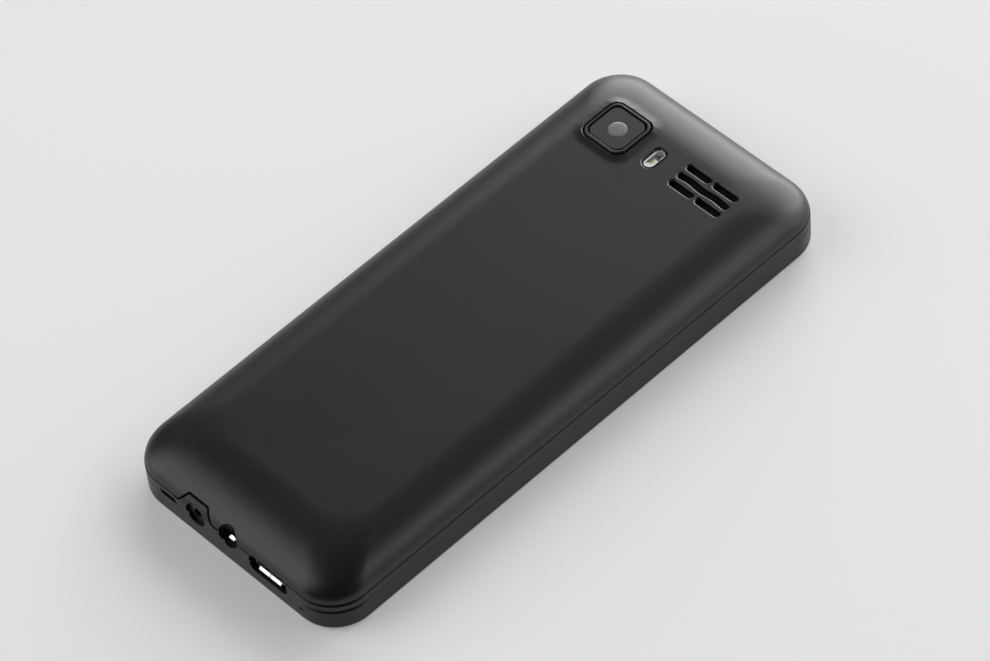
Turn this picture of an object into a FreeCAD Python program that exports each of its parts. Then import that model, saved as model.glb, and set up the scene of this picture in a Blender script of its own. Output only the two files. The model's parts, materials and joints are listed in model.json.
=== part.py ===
import FreeCAD, Part
import math
import os
import Sketcher
from FreeCAD import Vector

# A bar phone with a screen and keypad on its front and a lift-off rear cover.
# Frame: the front face lies at Z = 0 and the back looks up, +Y runs from the
# port end to the camera end, and +X is the side of the USB port.

DIMENSIONS = (
    # outer form
    ("body_width", 53.0, "across the housing"),
    ("body_length", 124.0, "port end to camera end"),
    ("corner_radius", 8.1, "plan corners of the housing"),
    ("back_level", 12.5, "flat back above the front face"),
    ("seam_level", 6.9, "lower edge of the rear cover"),
    ("seam_gap", 0.16, "open line between cover and rear housing"),
    ("parting_level", 5.0, "rear housing meets front housing"),
    ("parting_bevel", 0.35, "bevel each side of the parting line"),
    ("rim_bevel", 0.25, "bevel round the rear housing under the seam"),
    ("rim_fillet", 1.1, "rounding of the front rim"),
    # crown of the rear cover
    ("side_run", 9.5, "crown runs in from a long side"),
    ("port_run", 13.5, "crown runs in from the port end"),
    ("camera_run", 11.0, "crown runs in from the camera end"),
    ("crown_corner", 7.0, "plan corners of the flat back"),
    ("cover_set", 0.15, "cover's edge in from the housing's side"),
    ("cover_wall", 1.05, "cover wall at the seam"),
    ("cover_roof", 1.1, "cover wall at the flat back"),
    ("cover_gap", 0.3, "cover inside to rear housing"),
    # snap hooks of the cover
    ("hook_length", 5.0, "along the side"),
    ("hook_thickness", 0.8, "of the tongue"),
    ("hook_reach", 1.5, "tongue below the seam"),
    ("hook_nose", 0.2, "barb of the tongue"),
    ("hook_pitch", 36.0, "between hooks"),
    ("hook_gap", 0.25, "round the hook in its pocket"),
    # camera group in the back
    ("camera_x", -11.8, "camera axis"),
    ("camera_y", 46.95, "camera axis"),
    ("ring_side", 10.1, "camera ring, square over flats"),
    ("ring_radius", 2.0, "camera ring corners"),
    ("ring_level", 12.95, "top of the camera ring"),
    ("ring_gap", 0.2, "ring to the cover's hole"),
    ("ring_flange", 0.3, "flange of the ring under the cover"),
    ("ring_foot", 0.14, "thickness of that flange"),
    ("ring_ledge", 0.7, "ledge that carries the window"),
    ("window_side", 8.4, "camera window, square over flats"),
    ("window_radius", 1.5, "camera window corners"),
    ("window_thickness", 0.8, "camera window"),
    ("window_gap", 0.1, "window to ring"),
    ("window_drop", 0.1, "window below the ring's top"),
    ("ring_fillet", 0.25, "rounded top edge of the ring"),
    ("bump_height", 0.5, "swelling of the cover round the ring"),
    ("bump_run", 3.4, "its run out from the hole"),
    ("module_side", 8.4, "camera module body"),
    ("module_height", 4.2, "camera module body"),
    ("module_socket", 0.8, "its socket on the board"),
    ("module_gap", 0.3, "module to its well"),
    ("socket_inset", 0.5, "socket in from the module's sides"),
    ("well_corner", 0.5, "inside corners of the moulded wells"),
    ("barrel_radius", 3.1, "lens barrel"),
    ("barrel_height", 1.8, "lens barrel above the body"),
    ("lens_radius", 1.9, "front lens"),
    ("lens_cone", 1.15, "foot of the hollow in front of the lens"),
    ("lens_depth", 0.8, "that hollow"),
    ("gasket_rim", 0.2, "foam ring past the barrel and round the lens"),
    ("flash_x", -2.0, "flash axis"),
    ("flash_y", 46.5, "flash axis"),
    ("flash_length", 5.1, "flash lens along the phone"),
    ("flash_width", 2.6, "flash lens across"),
    ("flash_gap", 0.12, "lens to the cover's hole"),
    ("flash_flange", 0.5, "flange round the lens"),
    ("flash_foot", 0.22, "thickness of that flange"),
    ("led_length", 3.0, "flash diode"),
    ("led_width", 2.0, "flash diode"),
    ("led_height", 0.7, "flash diode"),
    ("led_gap", 0.1, "diode to its well"),
    ("led_drop", 0.05, "diode below the lens"),
    ("flash_fillet", 0.3, "rounded top edge of the lens"),
    # speaker grille
    ("grille_x", 10.0, "middle of the slots"),
    ("grille_y", 46.63, "middle slot"),
    ("slot_pitch", 2.36, "between slot rows"),
    ("slot_width", 1.3, "slot"),
    ("slot_span", 12.25, "long slot, end to end"),
    ("slot_bridge", 0.86, "between two short slots"),
    ("speaker_length", 15.0, "across the phone"),
    ("speaker_width", 11.0, "along the phone"),
    ("speaker_height", 3.4, "loudspeaker"),
    ("speaker_floor", 6.5, "floor of its well"),
    ("gasket_wall", 1.2, "foam ring on the speaker"),
    ("gasket_inset", 0.4, "ring in from the speaker's edge"),
    ("mesh_thickness", 0.12, "dust meshes"),
    ("seat_gap", 0.25, "loose fit of a part in its well"),
    # port end
    ("jack_x", 0.0, "headphone socket"),
    ("jack_level", 6.95, "axis of the headphone socket"),
    ("jack_bore", 1.8, "radius for a 3.5 mm plug"),
    ("jack_mouth", 2.35, "radius of the opening in the housing"),
    ("jack_collar", 2.2, "collar radius"),
    ("jack_recess", 0.9, "collar behind the end face"),
    ("jack_neck", 2.5, "collar length"),
    ("jack_width", 6.0, "socket body"),
    ("jack_length", 11.0, "socket body"),
    ("sleeve_wall", 0.2, "metal sleeve in the mouth"),
    ("sleeve_length", 1.4, "metal sleeve in the mouth"),
    ("sleeve_flange", 0.4, "countersunk flange in front of the sleeve"),
    ("flange_edge", 0.1, "flat edge round the countersink"),
    ("mouth_spare", 0.2, "mouths run this far past a wall"),
    ("usb_x", 10.1, "USB socket"),
    ("usb_width", 7.5, "metal shell"),
    ("usb_height", 2.5, "metal shell"),
    ("usb_length", 5.3, "metal shell"),
    ("usb_wall", 0.25, "metal shell"),
    ("usb_chamfer", 0.75, "lower corners of the shell"),
    ("usb_recess", 0.8, "shell behind the end face"),
    ("lip_reach", 0.4, "flared lips run out from the shell"),
    ("lip_drop", 0.4, "lower lips fall"),
    ("lip_rise", 0.12, "upper lip rises"),
    ("lip_width", 5.5, "both lower lips, end to end"),
    ("lip_slit", 0.16, "between the two lower lips"),
    ("usb_tongue", 0.6, "tongue thickness"),
    ("tongue_rise", 0.3, "tongue above the middle of the shell"),
    ("tongue_drop", 1.0, "tongue behind the shell's mouth"),
    ("usb_mouth_width", 9.5, "opening in the housing"),
    ("usb_mouth_low", 3.5, "opening in the housing"),
    ("usb_mouth_high", 7.4, "opening in the housing"),
    ("usb_mouth_radius", 1.5, "corners of the opening"),
    ("tab_x", -8.3, "strap socket tab"),
    ("tab_foot", 8.6, "tab width at the seam"),
    ("tab_top", 4.6, "tab width at its top"),
    ("tab_level", 9.1, "top of the tab"),
    ("tab_depth", 3.0, "tab thickness"),
    ("tab_gap", 0.3, "tab to the cover's notch"),
    ("tab_corner", 0.6, "rounded upper corners of the tab"),
    ("tab_flare", 1.2, "hollow corners at the foot of the tab"),
    ("socket_radius", 2.4, "round dish of the strap socket"),
    ("socket_level", 6.15, "its axis"),
    ("socket_depth", 0.7, "dish depth"),
    ("strap_hole", 0.95, "radius of the strap hole"),
    ("strap_slot_x", -15.5, "second strap opening"),
    ("strap_slot_width", 4.0, "second strap opening"),
    ("strap_slot_low", 4.7, "second strap opening"),
    ("strap_slot_high", 6.05, "second strap opening"),
    ("strap_tunnel", 3.4, "depth of the passage between them"),
    ("strap_wall", 1.6, "bar that the strap goes round"),
    ("strap_floor", 0.2, "floor of the passage above the parting line"),
    ("mic_x", 18.2, "microphone hole"),
    ("mic_level", 3.15, "microphone hole"),
    ("mic_width", 1.1, "microphone hole"),
    ("mic_height", 0.5, "microphone hole"),
    ("mic_side", 3.0, "microphone can"),
    ("mic_thickness", 1.1, "microphone can"),
    ("mic_shift", 0.2, "can to one side of its hole"),
    ("boot_wall", 0.35, "rubber boot"),
    ("boot_gap", 0.1, "boot to the front wall and to the can"),
    # front housing
    ("front_wall", 1.2, "side wall"),
    ("face_thickness", 1.6, "front face"),
    ("boss_radius", 1.9, "screw bosses"),
    ("rib_thickness", 0.45, "interlock rib of the rear housing"),
    ("rib_depth", 0.6, "interlock rib of the rear housing"),
    ("rib_gap", 0.1, "rib to the front housing's wall"),
    ("pane_width", 44.6, "display window"),
    ("pane_low", 1.5, "display window, keypad side"),
    ("pane_high", 53.5, "display window, earpiece side"),
    ("pane_radius", 2.5, "display window corners"),
    ("pane_thickness", 0.85, "display window"),
    ("pane_drop", 0.15, "window below the rim"),
    ("pane_gap", 0.1, "window to its recess"),
    ("view_width", 38.0, "opening for the picture"),
    ("view_low", 3.2, "opening for the picture"),
    ("view_high", 52.0, "opening for the picture"),
    ("lcd_width", 41.2, "display module"),
    ("lcd_low", -0.5, "display module, keypad side"),
    ("lcd_high", 54.3, "display module, earpiece side"),
    ("lcd_thickness", 1.7, "display module"),
    ("tray_wall", 0.2, "steel tray of the display"),
    ("tail_width", 9.0, "flexible tail of the display"),
    ("tail_film", 0.15, "flexible tail of the display"),
    ("tail_run", 1.5, "tail runs out from the display"),
    ("tail_foot", 2.0, "end of the tail on the board"),
    ("tail_drop", 0.5, "tail in front of the display's back"),
    ("tail_gap", 0.5, "tail to the opening in the tray"),
    ("tail_x", 13.73, "middle of the tail"),
    ("earpiece_y", 57.3, "earpiece slot"),
    ("earpiece_length", 11.0, "earpiece slot"),
    ("earpiece_width", 1.3, "earpiece slot"),
    ("mesh_lap", 0.5, "mesh past the earpiece slot"),
    ("receiver_length", 13.0, "earpiece receiver"),
    ("receiver_width", 4.8, "earpiece receiver"),
    # board
    ("board_level", 3.8, "board's front side"),
    ("board_thickness", 0.8, "board"),
    ("board_gap", 0.2, "board edge to the interlock rib"),
    ("board_hole", 1.1, "radius of the screw holes"),
    ("shield_length", 17.3, "shield can across the phone"),
    ("shield_width", 11.0, "shield can along the phone"),
    ("shield_height", 1.5, "shield can"),
    ("shield_wall", 0.2, "shield can"),
    ("shield_x", 9.6, "middle of a can"),
    ("shield_y", 35.2, "middle of a can"),
    ("chip_thickness", 0.9, "chips"),
    ("chip_length", 7.0, "chips along the phone"),
    ("wide_chip", 6.0, "larger chip of each pair"),
    ("narrow_chip", 5.0, "smaller chip of each pair"),
    ("chip_offset", 3.8, "chips from the middle of their can"),
    # screws
    ("screw_radius", 0.7, "shank"),
    ("screw_head", 1.3, "head"),
    ("head_height", 0.8, "head"),
    ("head_level", 7.0, "under the head"),
    ("screw_length", 4.4, "shank"),
    ("head_gap", 0.3, "round the head in its well"),
    ("shank_gap", 0.02, "round the shank in the boss"),
    ("sleeve_gap", 0.15, "round the shank in the rear housing"),
    ("drive_radius", 0.5, "recess in the head"),
    ("drive_depth", 0.4, "recess in the head"),
    ("port_screw_side", 5.0, "screws at the port end, in from the side"),
    ("port_screw_end", 6.0, "screws at the port end, in from the end"),
    ("middle_screw_side", 3.4, "screws at the middle, in from the side"),
    ("middle_screw_y", 1.2, "screws at the middle"),
    ("camera_screw_side", 5.5, "screws at the camera end, in from the side"),
    ("camera_screw_end", 5.0, "screws at the camera end, in from the end"),
    # keypad
    ("key_width", 14.2, "number key"),
    ("key_height", 8.0, "number key"),
    ("column_pitch", 15.6, "number keys"),
    ("row_pitch", 9.4, "number keys"),
    ("first_row_y", -20.6, "top row of number keys"),
    ("key_corner", 1.6, "key corners"),
    ("key_gap", 0.15, "key to the face"),
    ("key_drop", 0.15, "key below the rim"),
    ("key_fillet", 0.4, "rounded key edge"),
    ("flange_width", 0.5, "retaining flange of a key"),
    ("flange_thickness", 0.5, "retaining flange of a key"),
    ("flange_gap", 0.05, "flange behind the face"),
    ("key_travel", 0.25, "stroke of a key"),
    ("travel_spare", 0.05, "left over at full stroke"),
    ("side_key_x", 16.2, "soft, call and end keys"),
    ("side_key_width", 12.8, "soft, call and end keys"),
    ("side_key_height", 5.6, "soft, call and end keys"),
    ("soft_key_y", -4.4, "soft keys"),
    ("call_key_y", -11.4, "call and end keys"),
    ("nav_y", -7.9, "navigation ring"),
    ("nav_width", 16.6, "navigation ring"),
    ("nav_height", 12.6, "navigation ring"),
    ("nav_corner", 5.0, "navigation ring corners"),
    ("nav_drop", 0.32, "ring below the rim"),
    ("nav_play", 0.3, "ring flange behind the face"),
    ("nav_flange", 0.3, "ring flange thickness"),
    ("nav_gap", 0.2, "ring to the face and to the centre key"),
    ("centre_radius", 3.4, "centre key"),
    ("membrane_thickness", 0.6, "rubber keypad sheet"),
    ("nub_radius", 1.0, "nubs on the sheet"),
    ("dome_radius", 1.65, "metal domes"),
    ("dome_height", 0.22, "metal domes"),
    ("dome_film", 0.1, "film that holds the domes"),
    ("dome_gap", 0.03, "nub to dome"),
    # battery bay
    ("bay_floor", 6.3, "floor of the battery bay"),
    ("battery_width", 34.0, "across the phone"),
    ("battery_low", -29.0, "contact end"),
    ("battery_high", 27.0, "far end"),
    ("battery_thickness", 4.4, "battery"),
    ("battery_corner", 1.5, "battery corners"),
    ("battery_gap", 0.4, "battery to the bay"),
    ("battery_play", 0.1, "battery above the floor"),
    ("battery_fillet", 0.5, "rounded back edges of the battery"),
    ("connector_width", 10.0, "battery connector"),
    ("connector_depth", 3.4, "battery connector"),
    ("connector_height", 4.0, "battery connector"),
    ("contact_width", 0.9, "battery contact springs"),
    ("contact_pitch", 2.6, "battery contact springs"),
    ("contact_low", 0.6, "springs above the bay floor"),
    ("contact_height", 1.2, "battery contact springs"),
    ("sim_width", 15.2, "SIM holder"),
    ("sim_length", 17.0, "SIM holder"),
    ("sim_x", 8.9, "middle of a SIM holder"),
    ("sim_y", -15.5, "middle of a SIM holder"),
    ("holder_height", 1.45, "card holders"),
    ("holder_wall", 0.2, "sheet metal of the holders"),
    ("holder_gap", 0.3, "holder to the bay floor"),
    ("hatch_side", 3.0, "plate left beside a holder's window"),
    ("hatch_front", 2.8, "plate left at its port end"),
    ("hatch_back", 5.5, "plate left at its camera end"),
    ("card_width", 14.4, "memory card holder"),
    ("card_length", 15.2, "memory card holder"),
    ("card_y", 12.5, "memory card holder"),
    ("antenna_width", 30.0, "antenna plate"),
    ("antenna_low", -46.0, "antenna plate"),
    ("antenna_high", -37.0, "antenna plate"),
    ("antenna_thickness", 0.15, "antenna plate"),
    ("antenna_slit", 1.2, "slits in the plate"),
    ("slit_spread", 15.0, "first slit to the last"),
    ("antenna_bridge", 2.0, "plate left beside the slits"),
    ("chamber_inner", 7.0, "hollows under the plate, from the middle"),
    ("chamber_outer", 19.0, "hollows under the plate, from the middle"),
    ("chamber_corner", 1.5, "hollows under the plate"),
    ("chamber_roof", 1.2, "roof of the hollows"),
    # vibration motor
    ("motor_x", 20.9, "motor axis"),
    ("motor_level", 6.85, "motor axis"),
    ("motor_radius", 1.95, "motor can"),
    ("motor_low", 31.0, "rear of the can"),
    ("motor_length", 9.0, "can"),
    ("shaft_radius", 0.35, "motor shaft"),
    ("shaft_gap", 0.05, "running clearance"),
    ("weight_length", 3.2, "eccentric weight"),
    ("weight_radius", 1.8, "eccentric weight"),
    ("weight_gap", 0.5, "can to weight"),
    ("shaft_depth", 2.8, "shaft into the can"),
    ("bearing_spare", 0.2, "bearing past the shaft's end"),
    ("motor_gap", 0.15, "can to its well, on each side"),
    ("motor_clear", 0.2, "can to its well, at the rear"),
    ("weight_clear", 0.5, "weight to its well, at the end"),
)

CROWN_ANGLES = (0, 16, 33, 50, 66, 79, 90)   # steps up the quarter-elliptical crown
BUMP_STEPS = ((1.0, -0.2, 1.0), (0.62, 0.3, 0.81), (0.3, 0.75, 0.62), (0.1, 1.0, 0.37))
# each step of the bump: share of its run, of its height, and of its corner's growth
TAB_STEPS = 4                                 # outlines of the strap tab above the seam
ANTENNA_SLITS = 3
PILL_END = 0.98                               # a pill's end arc, which leaves a short straight
KEY_NAMES = (("1", "2", "3"), ("4", "5", "6"), ("7", "8", "9"), ("star", "0", "hash"))
ALONG_Y = FreeCAD.Rotation(Vector(1, 0, 0), -90)          # lays what stands on Z along Y


class Size(float):
    """A length that knows the spreadsheet formula it comes from."""

    def __new__(cls, number, text=None):
        size = super().__new__(cls, number)
        size.text = text or f"{float(number):.6g}"
        return size

    def __add__(self, other):
        return Size(float(self) + float(other), f"({self.text} + {formula(other)})")

    def __radd__(self, other):
        return Size(float(other) + float(self), f"({formula(other)} + {self.text})")

    def __sub__(self, other):
        return Size(float(self) - float(other), f"({self.text} - {formula(other)})")

    def __rsub__(self, other):
        return Size(float(other) - float(self), f"({formula(other)} - {self.text})")

    def __mul__(self, other):
        return Size(float(self) * float(other), f"({self.text} * {formula(other)})")

    __rmul__ = __mul__

    def __truediv__(self, other):
        return Size(float(self) / float(other), f"({self.text} / {formula(other)})")

    def __neg__(self):
        return Size(-float(self), f"(0 - {self.text})")


def formula(value):
    """The text that setExpression takes for a size or a bare number."""
    return value.text if isinstance(value, Size) else f"{float(value):.6g}"


def make_sheet(doc):
    """Fill the spreadsheet and return its values as attributes."""
    sheet = doc.addObject("Spreadsheet::Sheet", "sizes")
    for row, (name, number, note) in enumerate(DIMENSIONS, start=1):
        sheet.set(f"A{row}", str(number))
        sheet.setAlias(f"A{row}", name)
        sheet.set(f"B{row}", note)
    doc.recompute()
    named = type("Dimensions", (), {})()
    for name, number, note in DIMENSIONS:
        setattr(named, name, Size(sheet.get(name), f"sizes.{name}"))
    return named


doc = FreeCAD.newDocument("phone")
dim = make_sheet(doc)
parts = {}                                    # label of each sub-part -> its object


# ---------------------------------------------------------------- sketches

def bind(sketch, kind, elements, value):
    """Add one dimensional constraint and tie it to its formula."""
    index = sketch.addConstraint(Sketcher.Constraint(kind, *elements, float(value)))
    sketch.setExpression(f"Constraints[{index}]", formula(value))


def place_point(sketch, geometry, point, x, y):
    bind(sketch, "DistanceX", (-1, 1, geometry, point), x)
    bind(sketch, "DistanceY", (-1, 1, geometry, point), y)


def circle(sketch, x, y, radius):
    round_edge = Part.Circle(Vector(x, y, 0), Vector(0, 0, 1), float(radius))
    index = sketch.addGeometry(round_edge, False)
    place_point(sketch, index, 3, x, y)
    bind(sketch, "Radius", (index,), radius)


def polygon(sketch, points, radii=()):
    """Closed outline through the given corners; radii are (corner's index, radius) pairs."""
    first = sketch.GeometryCount
    count = len(points)
    corners = [Vector(x, y, 0) for x, y in points]
    for index in range(count):
        sketch.addGeometry(Part.LineSegment(corners[index], corners[(index + 1) % count]), False)
    for index in range(count):
        following = first + (index + 1) % count
        sketch.addConstraint(Sketcher.Constraint("Coincident", first + index, 2, following, 1))
    held = [first + index for index in range(count)]      # element whose start is each corner
    arcs = []
    for index, radius in radii:
        here = corners[index]
        sides = [corners[index - 1] - here, corners[(index + 1) % count] - here]
        near_points = [here + side / 4 for side in sides]     # where each line is picked
        arcs.append((sketch.GeometryCount, radius))
        held[index] = sketch.GeometryCount + 1            # the fillet keeps its corner as a point
        sketch.fillet(first + index - 1, first + index, *near_points, float(radius), True, True)
    for arc, radius in arcs:
        bind(sketch, "Radius", (arc,), radius)
    for element, (x, y) in zip(held, points):
        place_point(sketch, element, 1, x, y)


def rectangle(sketch, left, right, low, high):
    polygon(sketch, ((left, low), (right, low), (right, high), (left, high)))


def rounded(sketch, left, right, low, high, radius):
    """Rectangle with equal corner arcs, placed by its four sides."""
    first = sketch.GeometryCount
    corners = ((right - radius, low + radius, 270), (right - radius, high - radius, 0),
               (left + radius, high - radius, 90), (left + radius, low + radius, 180))
    ends = []
    for x, y, start in corners:
        begin, finish = math.radians(start), math.radians(start + 90)
        ends.append([Vector(x + radius * math.cos(a), y + radius * math.sin(a), 0)
                     for a in (begin, finish)])
    for index, (x, y, start) in enumerate(corners):
        sketch.addGeometry(Part.LineSegment(ends[index - 1][1], ends[index][0]), False)
        corner = Part.Circle(Vector(x, y, 0), Vector(0, 0, 1), float(radius))
        arc = Part.ArcOfCircle(corner, math.radians(start), math.radians(start + 90))
        sketch.addGeometry(arc, False)
    for index in range(8):
        following = first + (index + 1) % 8
        sketch.addConstraint(Sketcher.Constraint("Tangent", first + index, 2, following, 1))
    for index, way in enumerate(("Horizontal", "Vertical", "Horizontal", "Vertical")):
        sketch.addConstraint(Sketcher.Constraint(way, first + 2 * index))
    for index in (3, 5, 7):
        sketch.addConstraint(Sketcher.Constraint("Equal", first + 1, first + index))
    bind(sketch, "Radius", (first + 1,), radius)
    for index, way, value in ((0, "DistanceY", low), (2, "DistanceX", right),
                              (4, "DistanceY", high), (6, "DistanceX", left)):
        bind(sketch, way, (-1, 1, first + index, 1), value)


def pill(sketch, left, right, low, high):
    """Slot along the sketch's X with half-round ends."""
    first = sketch.GeometryCount
    radius = (high - low) / 2
    middle = (high + low) / 2
    for x, start in ((right - radius, 270), (left + radius, 90)):
        end = Part.Circle(Vector(x, middle, 0), Vector(0, 0, 1), float(radius))
        sketch.addGeometry(Part.ArcOfCircle(end, math.radians(start), math.radians(start + 180)), False)
    sketch.addGeometry(Part.LineSegment(Vector(right - radius, high, 0),
                                        Vector(left + radius, high, 0)), False)
    sketch.addGeometry(Part.LineSegment(Vector(left + radius, low, 0),
                                        Vector(right - radius, low, 0)), False)
    for one, other in ((0, 2), (2, 1), (1, 3), (3, 0)):
        sketch.addConstraint(Sketcher.Constraint("Tangent", first + one, 2, first + other, 1))
    bind(sketch, "Radius", (first,), radius)
    place_point(sketch, first, 3, right - radius, middle)
    place_point(sketch, first + 1, 3, left + radius, middle)


def square(sketch, x, y, side, radius):
    rounded(sketch, x - side / 2, x + side / 2, y - side / 2, y + side / 2, radius)


def plan(sketch, inset, radius):
    """Housing outline in plan, drawn in by an inset on every side."""
    half_width = dim.body_width / 2 - inset
    half_length = dim.body_length / 2 - inset
    rounded(sketch, -half_width, half_width, -half_length, half_length, radius)


# ---------------------------------------------------------------- features

def settle(feature):
    """Build one feature now, so that the next one can read its shape."""
    feature.recompute()
    feature.purgeTouched()
    return feature


def new_body(label):
    body = doc.addObject("PartDesign::Body", label)
    body.Label = label
    parts[label] = body
    return body


def new_sketch(body, plane, offset, draw):
    """Sketch on one of the body's own planes, moved along that plane's normal."""
    origin_plane = next(item for item in body.Origin.OriginFeatures if item.Role == plane + "_Plane")
    sketch = body.newObject("Sketcher::SketchObject", "Sketch")
    sketch.AttachmentSupport = (origin_plane, [""])
    sketch.MapMode = "FlatFace"
    sketch.setExpression("AttachmentOffset.Base.z", formula(offset))
    draw(sketch)
    return settle(sketch)


def add(body, plane, low, high, draw):
    """Pad an outline from low to high along the plane's axis."""
    offset = -1 * high if plane == "XZ" else low
    sketch = new_sketch(body, plane, offset, draw)
    pad = body.newObject("PartDesign::Pad", "Pad")
    pad.Profile = sketch
    pad.setExpression("Length", formula(high - low))
    return settle(pad)


def cut(body, plane, low, high, draw):
    """Pocket an outline from low to high along the plane's axis."""
    offset = -1 * low if plane == "XZ" else high
    sketch = new_sketch(body, plane, offset, draw)
    before = body.Tip.Shape.Volume
    pocket = body.newObject("PartDesign::Pocket", "Pocket")
    pocket.Profile = sketch
    pocket.setExpression("Length", formula(high - low))
    settle(pocket)
    if pocket.Shape.Volume >= before:
        raise RuntimeError(f"a pocket in {body.Label} cuts nothing")
    return pocket


def loft(body, kind, levels):
    """Smooth loft through XY outlines given as (level, draw) pairs."""
    sketches = [new_sketch(body, "XY", level, draw) for level, draw in levels]
    feature = body.newObject(f"PartDesign::{kind}Loft", "Loft")
    feature.Profile = sketches[0]
    feature.Sections = sketches[1:]
    return settle(feature)


def weld(body, tool):
    """Fuse another body into this one."""
    settle(tool)
    fuse = body.newObject("PartDesign::Boolean", "Boolean")
    fuse.setObjects([tool])
    fuse.Type = "Fuse"
    return settle(fuse)


def dress(body, kind, size, chosen):
    """Fillet or chamfer the edges of the body's last feature that pass a test."""
    base = body.Tip
    names = [f"Edge{index}" for index, edge in enumerate(base.Shape.Edges, start=1) if chosen(edge)]
    feature = body.newObject(f"PartDesign::{kind}", kind)
    feature.Base = (base, names)
    feature.setExpression("Radius" if kind == "Fillet" else "Size", formula(size))
    return settle(feature)


def repeat(body, feature, axis, length, count):
    """Copy a feature along one of the body's own axes."""
    line = next(item for item in body.Origin.OriginFeatures if item.Role == axis + "_Axis")
    pattern = body.newObject("PartDesign::LinearPattern", "LinearPattern")
    pattern.Originals = [feature]
    pattern.Direction = (line, [""])
    pattern.setExpression("Length", formula(length))
    pattern.Occurrences = count
    body.Tip = pattern
    return settle(pattern)


def at_level(level):
    """Test for edges that lie flat at one height."""
    def test(edge):
        box = edge.BoundBox
        return abs(box.ZMin - level) < 1e-4 and abs(box.ZMax - level) < 1e-4
    return test


def bind_place(item, x, y, z):
    for axis, value in (("x", x), ("y", y), ("z", z)):
        item.setExpression(f"Placement.Base.{axis}", formula(value))


def box(x, y, z):
    """Box between (low, high) pairs."""
    item = doc.addObject("Part::Box", "Box")
    for name, (low, high) in (("Length", x), ("Width", y), ("Height", z)):
        item.setExpression(name, formula(high - low))
    bind_place(item, x[0], y[0], z[0])
    return item


def rod(radius, x, y, level, length):
    """Cylinder that stands on a level."""
    item = doc.addObject("Part::Cylinder", "Cylinder")
    item.setExpression("Radius", formula(radius))
    item.setExpression("Height", formula(length))
    bind_place(item, x, y, level)
    return item


def bar(radius, x, y, level, length):
    """Cylinder that lies along +Y."""
    item = rod(radius, x, y, level, length)
    item.Placement.Rotation = ALONG_Y
    return item


def cone(foot_radius, end_radius, length):
    """Cone that stands on the frame's origin until it is placed."""
    item = doc.addObject("Part::Cone", "Cone")
    item.setExpression("Radius1", formula(foot_radius))
    item.setExpression("Radius2", formula(end_radius))
    item.setExpression("Height", formula(length))
    return item


def minus(base, *tools):
    """Base with every tool cut away."""
    item = doc.addObject("Part::Cut", "Cut")
    item.Base = base
    item.Tool = join(*tools) if len(tools) > 1 else tools[0]
    return item


def join(*items):
    fused = doc.addObject("Part::MultiFuse", "Fuse")
    fused.Shapes = list(items)
    return fused


def group(*items):
    """Separate solids kept in one sub-part."""
    compound = doc.addObject("Part::Compound", "Group")
    compound.Links = list(items)
    return compound


def name_part(label, item):
    item.Label = label
    parts[label] = item
    return item


def around(middle, width):
    """Low and high sides of a width about its middle."""
    return middle - width / 2, middle + width / 2


# ---------------------------------------------------------------- shared places

half_width = dim.body_width / 2
half_length = dim.body_length / 2
port_face = -half_length
board_top = dim.board_level + dim.board_thickness
cover_inner = dim.cover_set + dim.cover_wall
core_inset = cover_inner + dim.cover_gap
core_top = dim.back_level - dim.cover_roof - dim.cover_gap
rim_top = dim.seam_level - dim.seam_gap
cover_roof_level = dim.back_level - dim.cover_roof
key_back = dim.face_thickness + dim.flange_gap + dim.flange_thickness
membrane_low = key_back + dim.key_travel + dim.travel_spare
membrane_high = membrane_low + dim.membrane_thickness
dome_low = dim.board_level - dim.dome_film - dim.dome_height
collar_face = port_face + dim.jack_recess
jack_face = collar_face + dim.jack_neck
jack_back = jack_face + dim.jack_length
usb_face = port_face + dim.usb_recess
usb_back = usb_face + dim.usb_length
speaker_top = dim.speaker_floor + dim.seat_gap / 2 + dim.speaker_height
module_base = board_top + dim.module_socket
module_top = module_base + dim.module_height
barrel_top = module_top + dim.barrel_height
window_top = dim.ring_level - dim.window_drop
window_low = window_top - dim.window_thickness
tab_reach = dim.tab_foot + 2 * dim.tab_flare
beyond = 1.0                                  # cutters run this far past a face

screw_rows = ((half_width - dim.port_screw_side, port_face + dim.port_screw_end),
              (half_width - dim.middle_screw_side, dim.middle_screw_y),
              (half_width - dim.camera_screw_side, half_length - dim.camera_screw_end))
screw_places = [(side * x, y) for x, y in screw_rows for side in (-1, 1)]


def at_screws(radius):
    """Outline of one circle at every screw."""
    def draw(sketch):
        for x, y in screw_places:
            circle(sketch, x, y, radius)
    return draw


def key_places():
    """Name, middle, width and height of every plain key."""
    places = []
    for row, names in enumerate(KEY_NAMES):
        for column, name in enumerate(names):
            x = dim.column_pitch * (column - 1)
            y = dim.first_row_y - dim.row_pitch * row
            places.append((f"key_{name}", x, y, dim.key_width, dim.key_height))
    for name, side, y in (("soft_key_left", -1, dim.soft_key_y), ("soft_key_right", 1, dim.soft_key_y),
                          ("call_key", -1, dim.call_key_y), ("end_key", 1, dim.call_key_y)):
        places.append((name, dim.side_key_x * side, y, dim.side_key_width, dim.side_key_height))
    return places


def crown(inset, roof, low_corner):
    """Outlines up the crown: a quarter ellipse from the seam to a flat roof."""
    levels = []
    for angle in CROWN_ANGLES:
        rise = math.sin(math.radians(angle))
        fall = 1 - math.cos(math.radians(angle))
        side = half_width - inset - (dim.side_run - inset) * fall
        port = half_length - inset - (dim.port_run - inset) * fall
        camera = half_length - inset - (dim.camera_run - inset) * fall
        corner = low_corner + (dim.crown_corner - low_corner) * fall
        level = dim.seam_level + (roof - dim.seam_level) * rise

        def draw(sketch, side=side, port=port, camera=camera, corner=corner):
            rounded(sketch, -side, side, -port, camera, corner)
        levels.append((level, draw))
    return levels


def usb_mouth(sketch):
    left, right = around(dim.usb_x, dim.usb_mouth_width)
    rounded(sketch, left, right, dim.usb_mouth_low, dim.usb_mouth_high, dim.usb_mouth_radius)


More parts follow.
